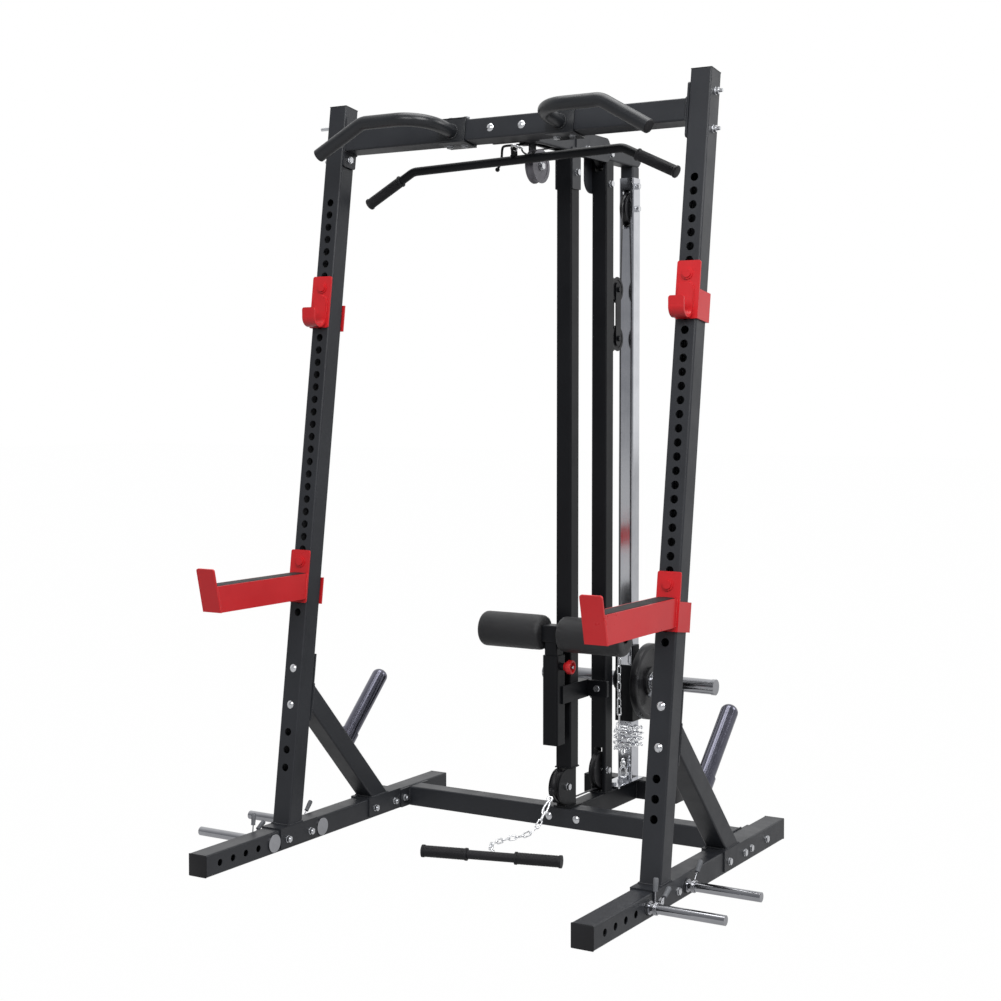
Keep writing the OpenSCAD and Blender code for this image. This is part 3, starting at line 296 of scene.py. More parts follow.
# ---------- plain meshes ----------
def mesh_from(name, verts, faces, smooth=35):
    mesh = bpy.data.meshes.new(name)
    mesh.from_pydata([tuple(v) for v in verts], [], faces)
    bm = bmesh.new()
    bm.from_mesh(mesh)
    bmesh.ops.remove_doubles(bm, verts=bm.verts, dist=1e-6)
    bmesh.ops.recalc_face_normals(bm, faces=bm.faces)
    bm.to_mesh(mesh)
    bm.free()
    shade(mesh, smooth)
    return mesh


def shade(mesh, angle=35):
    mesh.shade_smooth()
    mesh.set_sharp_from_angle(angle=math.radians(angle))


def mesh_of(bm, name, smooth):
    mesh = bpy.data.meshes.new(name)
    bm.to_mesh(mesh)
    bm.free()
    shade(mesh, smooth)
    return mesh


def joined(name, meshes, smooth=35):
    bm = bmesh.new()
    for m in meshes:
        bm.from_mesh(m)
    return mesh_of(bm, name, smooth)


def placed(mesh, matrix):
    mesh.transform(matrix)
    if matrix.determinant() < 0:
        mesh.flip_normals()
    return mesh


def lathe(profile, sides=48, name="turned", smooth=35, closed=False):
    """profile is (along, radius) pairs, turned about the X axis. closed joins its last point to its first."""
    verts, faces, rows = [], [], []
    for x, r in profile:
        if r < 1e-7:
            rows.append([len(verts)] * sides)
            verts.append((x, 0, 0))
        else:
            rows.append([len(verts) + k for k in range(sides)])
            spins = (2 * pi * k / sides for k in range(sides))
            verts += [(x, r * cos(spin), r * sin(spin)) for spin in spins]
    pairs = list(zip(rows, rows[1:])) + ([(rows[-1], rows[0])] if closed else [])
    for a, b in pairs:
        for k in range(sides):
            face = []
            for v in (a[k], a[(k + 1) % sides], b[(k + 1) % sides], b[k]):
                if v not in face:
                    face.append(v)
            if len(face) > 2:
                faces.append(tuple(face))
    return mesh_from(name, verts, faces, smooth)


def block(low, high, edge=0.001, name="block", segments=2):
    """A box with rounded edges."""
    bm = bmesh.new()
    bmesh.ops.create_cube(bm, size=1.0)
    low, high = Vector(low), Vector(high)
    for v in bm.verts:
        v.co = Vector((low[i] + (v.co[i] + 0.5) * (high[i] - low[i]) for i in range(3)))
    bmesh.ops.bevel(bm, geom=bm.edges[:], offset=edge, segments=segments, profile=0.5, affect="EDGES")
    return mesh_of(bm, name, 40)


def smooth_line(points, steps):
    """Points of a smooth line through the given ones."""
    p = [Vector(q) for q in points]
    out = []
    for i in range(len(p) - 1):
        a, b, c, d = p[max(i - 1, 0)], p[i], p[i + 1], p[min(i + 2, len(p) - 1)]
        for j in range(steps):
            t = j / steps
            out.append(0.5 * (
                2 * b + (c - a) * t + (2 * a - 5 * b + 4 * c - d) * t * t + (3 * b - a - 3 * c + d) * t ** 3
            ))
    return out + [p[-1]]


def piece(name, mesh, material, body, stands_for=()):
    mesh.materials.clear()
    mesh.materials.append(material)
    mesh.polygons.foreach_set("material_index", [0] * len(mesh.polygons))
    obj = bpy.data.objects.new(name, mesh)
    link(obj)
    if body:
        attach(obj, body)
    if stands_for:
        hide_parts(*stands_for)
    return obj


# ---------- geometry nodes for what repeats ----------
class Pattern(Graph):
    """A geometry node tree whose sizes are named inputs."""

    def __init__(self, name, sizes):
        super().__init__(bpy.data.node_groups.new(name, "GeometryNodeTree"))
        face = self.tree.interface
        face.new_socket("Geometry", in_out="INPUT", socket_type="NodeSocketGeometry")
        face.new_socket("Geometry", in_out="OUTPUT", socket_type="NodeSocketGeometry")
        self.keys = {}
        for key, value in sizes.items():
            kind = "NodeSocketInt" if isinstance(value, int) else "NodeSocketFloat"
            item = face.new_socket(key, in_out="INPUT", socket_type=kind)
            item.default_value = value
            self.keys[key] = item.identifier
        item = face.new_socket("Finish", in_out="INPUT", socket_type="NodeSocketMaterial")
        self.keys["Finish"] = item.identifier
        self.start = self.tree.nodes.new("NodeGroupInput")
        self.end = self.tree.nodes.new("NodeGroupOutput")

    def size(self, key):
        return Socket(self, self.start.outputs[key])

    def close(self, instances):
        real = self.node("GeometryNodeRealizeInstances", None, {0: instances})
        done = self.node("GeometryNodeSetMaterial", None, {"Geometry": real, "Material": self.size("Finish")})
        self.tree.links.new(done.out, self.end.inputs[0])
        return self

    def line(self):
        return self.node("GeometryNodeMeshToCurve", None, {0: self.size("Geometry")})

    def grow(self, name, points, finish, smooth=50, closed=False, **values):
        """Runs the tree on a line through points and gives the result as a plain mesh."""
        line = bpy.data.meshes.new("line")
        last = len(points) - 1
        line.from_pydata([tuple(p) for p in points], [(i, i + 1) for i in range(last)] + [(last, 0)] * closed, [])
        source = bpy.data.objects.new("line", line)
        link(source)
        modifier = source.modifiers.new("pattern", "NODES")
        modifier.node_group = self.tree
        for key, value in values.items():
            modifier[self.keys[key.replace("_", " ")]] = value
        modifier[self.keys["Finish"]] = finish
        bpy.context.view_layer.update()
        graph = bpy.context.evaluated_depsgraph_get()
        mesh = bpy.data.meshes.new_from_object(source.evaluated_get(graph))
        mesh.name = name
        source.modifiers.clear()
        bpy.data.objects.remove(source)
        shade(mesh, smooth)
        return mesh


def chain_pattern(name="chain links", upright=False):
    """Oval links along a line, each turned a quarter from the last. upright keeps them square to the vertical."""
    g = Pattern(name, {"Pitch": 0.0245, "Link Width": 0.0112, "Link Length": 0.0290, "Wire": 0.00225, "Lean": 0.5})
    line = g.node("GeometryNodeSetCurveNormal", {"mode": "Z_UP"}, {0: g.line()}) if upright else g.line()
    spots = g.node("GeometryNodeCurveToPoints", {"mode": "LENGTH"}, {"Curve": line, "Length": g.size("Pitch")})
    quarter = g.node("GeometryNodeInputIndex") % 2.0 * (pi / 2) + g.size("Lean")
    turn = g.node("FunctionNodeAxisAngleToRotation", None, {"Axis": (0, 0, 1), "Angle": quarter})
    aim = g.node("FunctionNodeRotateRotation", {"rotation_space": "LOCAL"}, {0: spots.other("Rotation"), 1: turn})
    box = {"Width": g.size("Link Width"), "Height": g.size("Link Length")}
    oval = g.node("GeometryNodeCurvePrimitiveQuadrilateral", None, box)
    fillet = {"Curve": oval, "Count": 4, "Radius": g.size("Link Width") * 0.499}
    oval = g.node("GeometryNodeFilletCurve", {"mode": "POLY"}, fillet)
    wire = g.node("GeometryNodeCurvePrimitiveCircle", None, {"Resolution": 8, "Radius": g.size("Wire")})
    link = g.node("GeometryNodeCurveToMesh", None, {"Curve": oval, "Profile Curve": wire})
    link = g.node("GeometryNodeTransform", None, {"Geometry": link, "Rotation": (pi / 2, 0, 0)})
    return g.close(g.node("GeometryNodeInstanceOnPoints", None, {"Points": spots, "Instance": link, "Rotation": aim}))


def bead_pattern():
    """A weld bead: overlapping ripples along a line, each a little different."""
    g = Pattern("weld ripples", {"Pitch": 0.0024, "Ripple": 0.0028, "Change": 0.16, "Seed": 7})
    spots = g.node("GeometryNodeCurveToPoints", {"mode": "LENGTH"}, {"Curve": g.line(), "Length": g.size("Pitch")})
    ripple = g.node("GeometryNodeMeshIcoSphere", None, {"Radius": g.size("Ripple"), "Subdivisions": 2})
    ripple = g.node("GeometryNodeTransform", None, {"Geometry": ripple, "Scale": (1.0, 1.0, 0.62)})
    wide = g.node(
        "FunctionNodeRandomValue", {"data_type": "FLOAT"},
        {2: 1.0 - g.size("Change"), 3: 1.0 + g.size("Change"), "Seed": g.size("Seed")}, 1,
    )
    setting = {"Points": spots, "Instance": ripple, "Rotation": spots.other("Rotation"), "Scale": wide}
    return g.close(g.node("GeometryNodeInstanceOnPoints", None, setting))


def rib_pattern():
    """Round ribs along a line, for moulded grips."""
    g = Pattern("grip ribs", {"Pitch": 0.0042, "Radius": 0.0155, "Rib": 0.0009})
    spots = g.node("GeometryNodeCurveToPoints", {"mode": "LENGTH"}, {"Curve": g.line(), "Length": g.size("Pitch")})
    circle = g.node("GeometryNodeCurvePrimitiveCircle", None, {"Resolution": 40, "Radius": g.size("Radius")})
    section = g.node("GeometryNodeCurvePrimitiveCircle", None, {"Resolution": 6, "Radius": g.size("Rib")})
    rib = g.node("GeometryNodeCurveToMesh", None, {"Curve": circle, "Profile Curve": section})
    setting = {"Points": spots, "Instance": rib, "Rotation": spots.other("Rotation")}
    return g.close(g.node("GeometryNodeInstanceOnPoints", None, setting))


def rod_pattern():
    """Round bar or cable along a line."""
    g = Pattern("round bar", {"Radius": 0.0025, "Sides": 16})
    ring = {"Resolution": g.size("Sides"), "Radius": g.size("Radius")}
    section = g.node("GeometryNodeCurvePrimitiveCircle", None, ring)
    setting = {"Curve": g.line(), "Profile Curve": section, "Fill Caps": True}
    return g.close(g.node("GeometryNodeCurveToMesh", None, setting))


CHAIN, COIL = chain_pattern(), chain_pattern("wound chain links", True)
BEAD, RIBS, ROD = bead_pattern(), rib_pattern(), rod_pattern()


# ---------- places, as the solids have them ----------
UPRIGHT_LEAN = math.radians(7.9)
SIN, COS = sin(UPRIGHT_LEAN), cos(UPRIGHT_LEAN)
FOOT_X, BASE_Y, SADDLE_Z, TUBE, HALF = 0.578, -0.627, 0.064, 0.060, 0.030
BEAM_ALONG = 1.968
LEAN = Matrix.Translation((0, BASE_Y, SADDLE_Z)) @ Matrix.Rotation(-UPRIGHT_LEAN, 4, "X")
PLATE_FACE = -0.0054
ARM_FOOT, ARM_WALL, ARM_TILT, ARM_END = 0.698, 0.029, math.radians(13), -0.910
FRONT_PIN_Y, REAR_PIN_Y = -0.695, -0.475
HORN_AT = (0.400, 0.380)
ROLLER_AXLE = (0, -0.081, 0.583)
ANCHOR_Y = 0.338
STRAND = 0.0028
FRONT_WHEEL = (-0.180, 1.9225, 0.048, 0.042, 0.013)
REAR_WHEEL = (0.220, 2.003, 0.045, 0.0392, 0.010)
LOW_FRONT_WHEEL = (-0.031, 0.125, 0.050, 0.0442, 0.012)
LOW_REAR_WHEEL = (0.208, 0.130, 0.055, 0.0512, 0.010)
FLOAT_TOP_WHEEL = (0.300, 1.600, 0.0415, 0.0352, 0.009)
FLOAT_LOW_WHEEL = (0.300, 1.450, 0.0415, 0.0352, 0.009)
GUIDE_WHEEL = (0.400, 1.855, 0.055, 0.0472, 0.010)


def at_upright(x, d, a):
    """Point at x, d back from the front face and a along an upright."""
    return LEAN @ Vector((x, d, a))


def on_wheel(wheel, degrees, x=0.0):
    a = math.radians(degrees)
    r = wheel[3] + STRAND
    return Vector((x, wheel[0] + r * cos(a), wheel[1] + r * sin(a)))


def wrap(wheel, start, end, count):
    return [on_wheel(wheel, start + (end - start) * i / count) for i in range(count + 1)]


def straight(a, b, count):
    a, b = Vector(a), Vector(b)
    return [a.lerp(b, i / count) for i in range(count + 1)]


def circle(centre, axis, radius, count=32):
    """Points round a circle square to axis."""
    turn = Vector((0, 0, 1)).rotation_difference(Vector(axis)).to_matrix()
    spins = (2 * pi * i / count for i in range(count))
    return [Vector(centre) + turn @ (Vector((cos(a), sin(a), 0)) * radius) for a in spins]


def mirrored(mesh):
    """The same piece on the other side."""
    return placed(mesh.copy(), Matrix.Scale(-1, 4, (1, 0, 0)))


def both(mesh):
    """The word of each side with its mesh."""
    return (("right", mesh), ("left", mirrored(mesh)))


def aimed(start, way):
    """Takes the X axis from the origin to a line from start along way."""
    return Matrix.Translation(start) @ Vector((1, 0, 0)).rotation_difference(way).to_matrix().to_4x4()


def snap_hook(name, top, down, across, size=0.05, slim=0.20):
    """Sprung hook: an eye at top, a bent oval body and a straight gate."""
    top, down, across = Vector(top), Vector(down).normalized(), Vector(across).normalized()
    wire, half, eye = size * 0.06, size * slim, size * 0.12
    body = []
    for i in range(40):
        a = 2 * pi * i / 40
        along = size * 0.62 + size * 0.36 * -cos(a)
        wide = half * sin(a) * (1.0 + 0.28 * -cos(a))
        body.append(top + down * along + across * wide)
    gate_top = top + down * size * 0.42 + across * half * 0.92
    gate = straight(gate_top, top + down * size * 0.84 + across * half * 1.02, 2)
    ring = circle(top + down * eye, across.cross(down), eye, 24)
    neck = straight(top + down * eye * 1.7, top + down * size * 0.30, 2)
    return joined(
        name,
        [
            ROD.grow("body", body, ZINC, closed=True, Radius=wire, Sides=12),
            ROD.grow("gate", gate, ZINC, Radius=wire * 1.25, Sides=12),
            ROD.grow("eye", ring, ZINC, closed=True, Radius=wire, Sides=12),
            ROD.grow("neck", neck, ZINC, Radius=wire * 1.6, Sides=12),
        ],
    )


# ---------- floor chain with its bar ----------
exit_way = Vector((0, -math.sqrt(0.5), math.sqrt(0.5)))
low_exit = on_wheel(LOW_FRONT_WHEEL, 225)
ball_at = low_exit + 0.0393 * exit_way
floor_route = smooth_line(
    [
        ball_at - Vector((0, 0.006, 0.013)), (-0.006, -0.115, 0.074), (-0.018, -0.150, 0.026),
        (-0.034, -0.190, 0.009), (-0.058, -0.250, 0.0082), (-0.064, -0.322, 0.0082),
        (-0.024, -0.388, 0.009), (0.0035, -0.4288, 0.017),
    ],
    5,
)
floor_length = sum((b - a).length for a, b in zip(floor_route, floor_route[1:]))
links_from = [p for p in floor_route if (p - floor_route[0]).length > 0.056 and (p - floor_route[-1]).length > 0.008]
first_hook = snap_hook("first_hook", floor_route[0], links_from[0] - floor_route[0], (0.9, 0.4, 0.1), 0.056, 0.125)
floor_links = joined("floor_chain", [CHAIN.grow("links", links_from, LIT_ZINC, smooth=60), first_hook], 60)
floor_chain = piece("floor_chain", floor_links, LIT_ZINC, ROOT, ["low_chain"])
ball = lathe([
    (-0.009, 0.003), (-0.008, 0.0045), (-0.005, 0.0076), (0, 0.009), (0.005, 0.0076), (0.008, 0.0045), (0.009, 0.003),
], 32)
ferrule_line = straight(ball_at + exit_way * 0.008, ball_at + exit_way * 0.014, 2)
ferrule = ROD.grow("ferrule", ferrule_line, ZINC, Radius=0.0042, Sides=16)
piece("ball_stop", joined("ball_stop", [placed(ball, aimed(ball_at, exit_way)), ferrule]), PLASTIC, ROOT)


def ribbed_grip(name, start, way, long, radius, flange, finish):
    """Moulded grip on a bar: a ribbed sleeve between two rounded flanges."""
    way = Vector(way).normalized()
    f, r, c = flange, radius, 0.0126
    sleeve = lathe(
        [
            (0, c), (0.0006, f - 0.001), (0.0018, f), (0.0046, f), (0.006, f - 0.0012), (0.0085, r - 0.0006),
            (long - 0.010, r - 0.0006), (long - 0.0075, f - 0.0012), (long - 0.006, f), (long - 0.0022, f),
            (long - 0.0006, f - 0.0012), (long, f - 0.004), (long, 0),
            (long - 0.003, 0), (long - 0.003, c),
        ],
        40, closed=True,
    )
    rib_line = straight((0.012, 0, 0), (long - 0.0135, 0, 0), 2)
    ribs = RIBS.grow("ribs", rib_line, finish, Radius=radius - 0.0008, Rib=0.0009)
    return placed(joined(name, [sleeve, ribs], 40), aimed(start, way))


bar_turn = math.radians(14.6)
bar_way = Vector((cos(bar_turn), sin(bar_turn), 0))
bar_mid = Vector((0.016, -0.4585, 0.0176))
floor_grips = [
    RIBS.grow(
        "ribs", straight(bar_mid + side * bar_way * 0.079, bar_mid + side * bar_way * 0.187, 2),
        RUBBER, Radius=0.0154, Rib=0.0009,
    )
    for side in (-1, 1)
]
piece("floor_bar_ribs", joined("floor_bar_ribs", floor_grips), RUBBER, ROOT)


# ---------- cables ----------
rise = (GUIDE_WHEEL[0] - FLOAT_TOP_WHEEL[0], GUIDE_WHEEL[1] - FLOAT_TOP_WHEEL[1])
rise_lean = math.degrees(
    math.atan2(rise[0], rise[1]) - math.asin((GUIDE_WHEEL[3] + FLOAT_TOP_WHEEL[3] + 2 * STRAND) / math.hypot(*rise))
)
reach = (REAR_WHEEL[0] - FRONT_WHEEL[0], REAR_WHEEL[1] - FRONT_WHEEL[1])
reach_tilt = math.degrees(
    math.atan2(reach[1], reach[0]) + math.asin((REAR_WHEEL[3] - FRONT_WHEEL[3]) / math.hypot(*reach))
)


def cable(name, *routes):
    return joined(name, [ROD.grow(name, route, CABLE, Radius=0.0025, Sides=12) for route in routes])


fixed_runs = cable(
    "fixed_runs",
    wrap(FRONT_WHEEL, 135, 90 + reach_tilt, 10) + wrap(REAR_WHEEL, 90 + reach_tilt, 0, 20),
    wrap(GUIDE_WHEEL, 180 - rise_lean, 0, 30),
    straight(low_exit + 0.0299 * exit_way, low_exit, 3)
    + wrap(LOW_FRONT_WHEEL, 230, 270, 9) + wrap(LOW_REAR_WHEEL, 270, 360, 18),
)
piece("fixed_runs", fixed_runs, CABLE, ROOT, ["fixed_cables"])
block_runs = cable("block_runs", wrap(FLOAT_TOP_WHEEL, -180, -rise_lean, 24), wrap(FLOAT_LOW_WHEEL, 180, 0, 24))
piece("block_runs", block_runs, CABLE, "float_block", ["block_cables"])


def moving_run(name, route, stands_for=()):
    """A run of cable between two bodies, baked as one fixed mesh that rides with neither body."""
    run = piece(name, cable(name, route), CABLE, None, stands_for)
    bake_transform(run)


moving_run(
    "rear_top_run", straight(on_wheel(REAR_WHEEL, 0), on_wheel(FLOAT_TOP_WHEEL, 180), 60),
    ["upper_strands"],
)
moving_run(
    "guide_run",
    straight(on_wheel(GUIDE_WHEEL, 180 - rise_lean), on_wheel(FLOAT_TOP_WHEEL, -rise_lean), 50),
    ["upper_strands"],
)
moving_run(
    "rear_low_run", straight(on_wheel(FLOAT_LOW_WHEEL, 180), on_wheel(LOW_REAR_WHEEL, 0), 60),
    ["lower_strands"],
)
moving_run(
    "anchor_run", straight(on_wheel(FLOAT_LOW_WHEEL, 0), (0, ANCHOR_Y, 0.456), 50),
    ["lower_strands"],
)
moving_run(
    "carriage_run", straight((0, 0.45, 0.449), on_wheel(GUIDE_WHEEL, 0), 70),
    ["carriage_strand"],
)
lead = on_wheel(FRONT_WHEEL, 135)
lead_route = [
    lead + Vector(p) * MM for p in ((0, 0, 0), (0, -4.3, -3.8), (-0.5, -9, -5.8), (-2.8, -14.5, -5.4), (-4.6, -19, -4))
]
lead_route += [lead + Vector((-5.2 - 0.22 * i, -20.5 - 0.34 * i, -3.4 + 0.17 * i)) * MM for i in range(16)]
lead_route += [lead + Vector(p) * MM for p in ((-10, -27.5, 0.6), (-13, -30, 5), (-15, -31.5, 10))]
moving_run(
    "bar_run", smooth_line(lead_route, 2),
    ["bar_strand"],
)

# ferrule where the block's cable meets the chain
ferrule_line = straight((0, ANCHOR_Y, 0.452), (0, ANCHOR_Y, 0.476), 2)
ferrule = ROD.grow("anchor_ferrule", ferrule_line, ZINC, Radius=0.0048, Sides=20)
piece("anchor_ferrule", ferrule, ZINC, ROOT)

# ---------- anchor chain, wound four turns round the guide ----------
FACING = 0.54
WOUND = {"Link Width": 0.0082, "Link Length": 0.0240, "Pitch": 0.0200}
out = 0.0335
corner = []
for k in range(8):
    a, stretch = math.radians(45 * k - 90), 1.32 if k % 2 else 1.0
    corner.append((cos(a) * out * stretch, sin(a) * out * stretch))
chain_drop = straight((0, ANCHOR_Y, 0.442), (0, ANCHOR_Y, 0.265), 8)
chain_drop += [Vector((-0.002, 0.340, 0.247)), Vector((-0.006, 0.347, 0.236))]
chain_coil = [Vector((corner[i % 8][0], 0.4 + corner[i % 8][1], 0.233 - 0.018 * i / 8)) for i in range(1, 33)]
chain_tail = [Vector(p) for p in ((0.003, 0.3585, 0.146), (0.005, 0.3545, 0.134), (0.005, 0.3545, 0.122))]
anchor_links = [
    COIL.grow("links", smooth_line(chain_drop + chain_coil[:1], 3), LIT_ZINC, smooth=60, Lean=FACING),
    COIL.grow("links", smooth_line(chain_coil, 3), LIT_ZINC, smooth=60, Lean=0.0, **WOUND),
    CHAIN.grow("links", smooth_line(chain_coil[-1:] + chain_tail, 3), LIT_ZINC, smooth=60, Lean=FACING),
]
piece("anchor_links", joined("anchor_links", anchor_links, 60), LIT_ZINC, ROOT, ["anchor_chain"])
anchor_hook = snap_hook("anchor_hook", (0.005, 0.3545, 0.126), (0, 0.02, -1), (0.86, 0.5, 0), 0.050)
piece("anchor_hook", anchor_hook, LIT_ZINC, ROOT)

# ---------- pull-down bar ----------
bar_place = Matrix.Translation((-0.038, -0.244, 1.935)) @ Matrix.Rotation(math.radians(-1.7), 4, "Y")
flat, arm, bend, bow = 0.341, 0.176, math.radians(27), 0.050
k = bow * math.tan(bend / 2)
half_bar = [(flat - k + bow * sin(bend * i / 12), 0, -bow * (1 - cos(bend * i / 12))) for i in range(13)]
tip = (half_bar[-1][0] + (arm - k) * cos(bend), 0, half_bar[-1][2] - (arm - k) * sin(bend))
whole_bar = [(-x, y, z) for x, y, z in [tip] + half_bar[::-1]] + half_bar + [tip]


def slab(name, outline, hole, thick, edge=0.0006):
    """A flat plate in the YZ plane, from an outline with one round hole (y, z, radius), with its edges broken."""
    bm = bmesh.new()
    rings = [outline]
    if hole:
        spins = (2 * pi * i / 24 for i in range(24))
        rings.append([(hole[0] + hole[2] * cos(a), hole[1] + hole[2] * sin(a)) for a in spins])
    for ring in rings:
        verts = [bm.verts.new((-thick / 2, y, z)) for y, z in ring]
        for i in range(len(verts)):
            bm.edges.new((verts[i - 1], verts[i]))
    bmesh.ops.triangle_fill(bm, edges=bm.edges[:], use_beauty=True)
    up = bmesh.ops.extrude_face_region(bm, geom=bm.faces[:])
    bmesh.ops.translate(bm, vec=(thick, 0, 0), verts=[v for v in up["geom"] if isinstance(v, bmesh.types.BMVert)])
    bmesh.ops.recalc_face_normals(bm, faces=bm.faces)
    sharp = [e for e in bm.edges if len(e.link_faces) == 2 and e.calc_face_angle(0) > 1.2]
    bmesh.ops.bevel(bm, geom=sharp, offset=edge, segments=2, affect="EDGES")
    return mesh_of(bm, name, 40)


lug_outline = [(-0.014, 0.006), (0.014, 0.006)] + [
    (0.014 * cos(math.radians(a)), 0.024 + 0.014 * sin(math.radians(a))) for a in range(0, 181, 15)
]
bar_body = joined(
    "bar_body",
    [
        ROD.grow("bar_tube", whole_bar, BLACK, Radius=0.0125, Sides=32),
        slab("lug", lug_outline, (0, 0.026, 0.0055), 0.006),
    ] + [
        BEAD.grow("lug_weld", straight((x, -0.013, 0.0118), (x, 0.013, 0.0118), 8), BLACK, Ripple=0.0022, Pitch=0.002)
        for x in (0.0032, -0.0032)
    ],
)
piece("pulldown_tube", placed(bar_body, bar_place), BLACK, "pulldown_bar", ["lat_bar"])
lug_ring = ROD.grow(
    "lug_ring", circle((0, 0, 0.034), (0, 1, 0), 0.010, 36), ZINC, closed=True, Radius=0.002, Sides=12
)
piece("lug_ring", placed(lug_ring, bar_place), ZINC, "pulldown_bar")
grip_start = half_bar[-1]
grip_way = Vector((cos(bend), 0, -sin(bend)))
long_grip = (arm - k) - 0.036 + 0.004
one_grip = ribbed_grip("bar_grips", Vector(grip_start) + grip_way * 0.036, grip_way, long_grip, 0.0157, 0.0175, RUBBER)
bar_grips = placed(joined("bar_grips", [one_grip, mirrored(one_grip)], 40), bar_place)
piece("bar_grips", bar_grips, RUBBER, "pulldown_bar", ["lat_grips"])
bar_hook = snap_hook("bar_hook", lead + Vector((-13, -31.5, 11.5)) * MM, (-26, -1.5, 12), (0, 1, 0), 0.034)
piece("bar_hook_clip", bar_hook, ZINC, "pulldown_bar")

# ---------- pull-up grips ----------
grip_x, grip_out, grip_run, grip_drop, grip_bend = 0.172, 0.147, 0.201, math.radians(30), 0.090
drop_bend = 0.060
swing = drop_bend * math.tan(grip_drop / 2)
reach_out = 0.005 + grip_out - grip_bend
grip_line = straight((grip_x, -0.006, 0), (grip_x, -reach_out, 0), 4)
for a in map(math.radians, range(5, 91, 5)):
    grip_line.append(Vector((grip_x + grip_bend * (1 - cos(a)), -reach_out - grip_bend * sin(a), 0)))
for a in map(math.radians, range(0, 31, 3)):
    bent = grip_x + grip_run - swing + drop_bend * sin(a)
    grip_line.append(Vector((bent, -0.005 - grip_out, -drop_bend * (1 - cos(a)))))
grip_tip = grip_line[-1] + 0.148 * Vector((cos(grip_drop), 0, -sin(grip_drop)))
grip_line += straight(grip_line[-1], grip_tip, 3)[1:]
grip_low = Vector((0, 0, -0.004))
grip_line, grip_tip = [p + grip_low for p in grip_line], grip_tip + grip_low
beam_place = LEAN @ Matrix.Translation((0, 0, BEAM_ALONG))
c0, c1, t = grip_x - 0.043, grip_x + 0.043, 0.005
clamp = [
    block((c0, -t, -HALF), (c1, 0, HALF + t), 0.0008),
    block((c0, -t, HALF), (c1, TUBE + t, HALF + t), 0.0008),
    block((c0, TUBE, -HALF), (c1, TUBE + t, HALF + t), 0.0008),
    block((c0, -t, -HALF - t), (c1, TUBE + t, -HALF), 0.0008),
]
grip_parts = [
    ROD.grow("grip", grip_line, GREY, Radius=0.019, Sides=48),
    BEAD.grow("grip_weld", circle((grip_x, -0.0062, -0.004), (0, 1, 0), 0.0197, 44), GREY, closed=True, Ripple=0.0030),
] + clamp
right_grip = placed(joined("pullup_grip", grip_parts, 40), beam_place)
for word, mesh in both(right_grip):
    piece(f"{word}_pullup_tube", mesh, GREY, ROOT, [f"{word}_pullup_grip"])


# ---------- caps in the open tube ends ----------
def square_cap(half, thick):
    """Pressed-in cap: a crowned square face with rounded corners."""
    return block((-half, 0, -half), (half, thick, half), 0.0022, segments=3)


PLUG = [
    (-0.004, 0), (-0.004, 0.0165), (0.0, 0.0185), (0.0012, 0.0185), (0.0026, 0.0170), (0.003, 0.013), (0.003, 0),
]
cap_parts = []
for side in (-1, 1):
    x = side * FOOT_X
    for y in (-0.980, 0.1868):
        cap_parts.append(placed(square_cap(HALF, 0.0032), Matrix.Translation((x, y, HALF))))
    cap_parts.append(block((x - HALF, 0, 2.072), (x + HALF, TUBE, 2.075), 0.0022, segments=3))
    placed(cap_parts[-1], LEAN)
    base_end = block((0.160, 0.410, 0.0), (0.163, 0.470, 0.060), 0.0014, segments=3)
    cap_parts.append(base_end if side > 0 else mirrored(base_end))
    tip_turn = beam_place @ Matrix.Translation(grip_tip) @ Matrix.Rotation(grip_drop, 4, "Y")
    plug = placed(lathe(PLUG, 40), tip_turn)
    cap_parts.append(plug if side > 0 else mirrored(plug))
piece("end_caps", joined("end_caps", cap_parts, 40), PLASTIC, ROOT, ["tube_caps"])


# ---------- welds ----------
def weld_loop(points, finish, ripple=0.0029, closed=True):
    return BEAD.grow("weld", points, finish, closed=closed, Ripple=ripple, Pitch=ripple * 0.85)


def rectangle(centre, u, v):
    centre, u, v = Vector(centre), Vector(u), Vector(v)
    return [centre - u - v, centre + u - v, centre + u + v, centre - u + v]


def three_sides(centre, u, low, high):
    """Up one side, over the top and down the other."""
    centre, u = Vector(centre), Vector(u)
    low, high = Vector((0, 0, low)), Vector((0, 0, high))
    return [centre - u + low, centre - u + high, centre + u + high, centre + u + low]


frame_welds, tower_welds = [], []
toe = at_upright(0, TUBE, 0.0083)
horn_tilt = math.radians(46.5)
horn_axis = Vector((0, sin(horn_tilt), cos(horn_tilt)))
tilt = math.radians(43.5)
brace_way, brace_side = Vector((0, -sin(tilt), cos(tilt))), Vector((0, cos(tilt), sin(tilt)))
brace_at = Vector((0, -0.1668, 0.0473))


def brace_point(side_way, inside):
    """Where an edge line of the brace leaves the saddle, or meets its end plate."""
    p = brace_at + brace_side * side_way
    if inside == "saddle":
        return p + brace_way * ((SADDLE_Z - p.z) / brace_way.z)
    normal = Vector((0, COS, -SIN))
    plate = at_upright(0, 0.066, 0)
    return p + brace_way * ((plate - p).dot(normal) / brace_way.dot(normal))


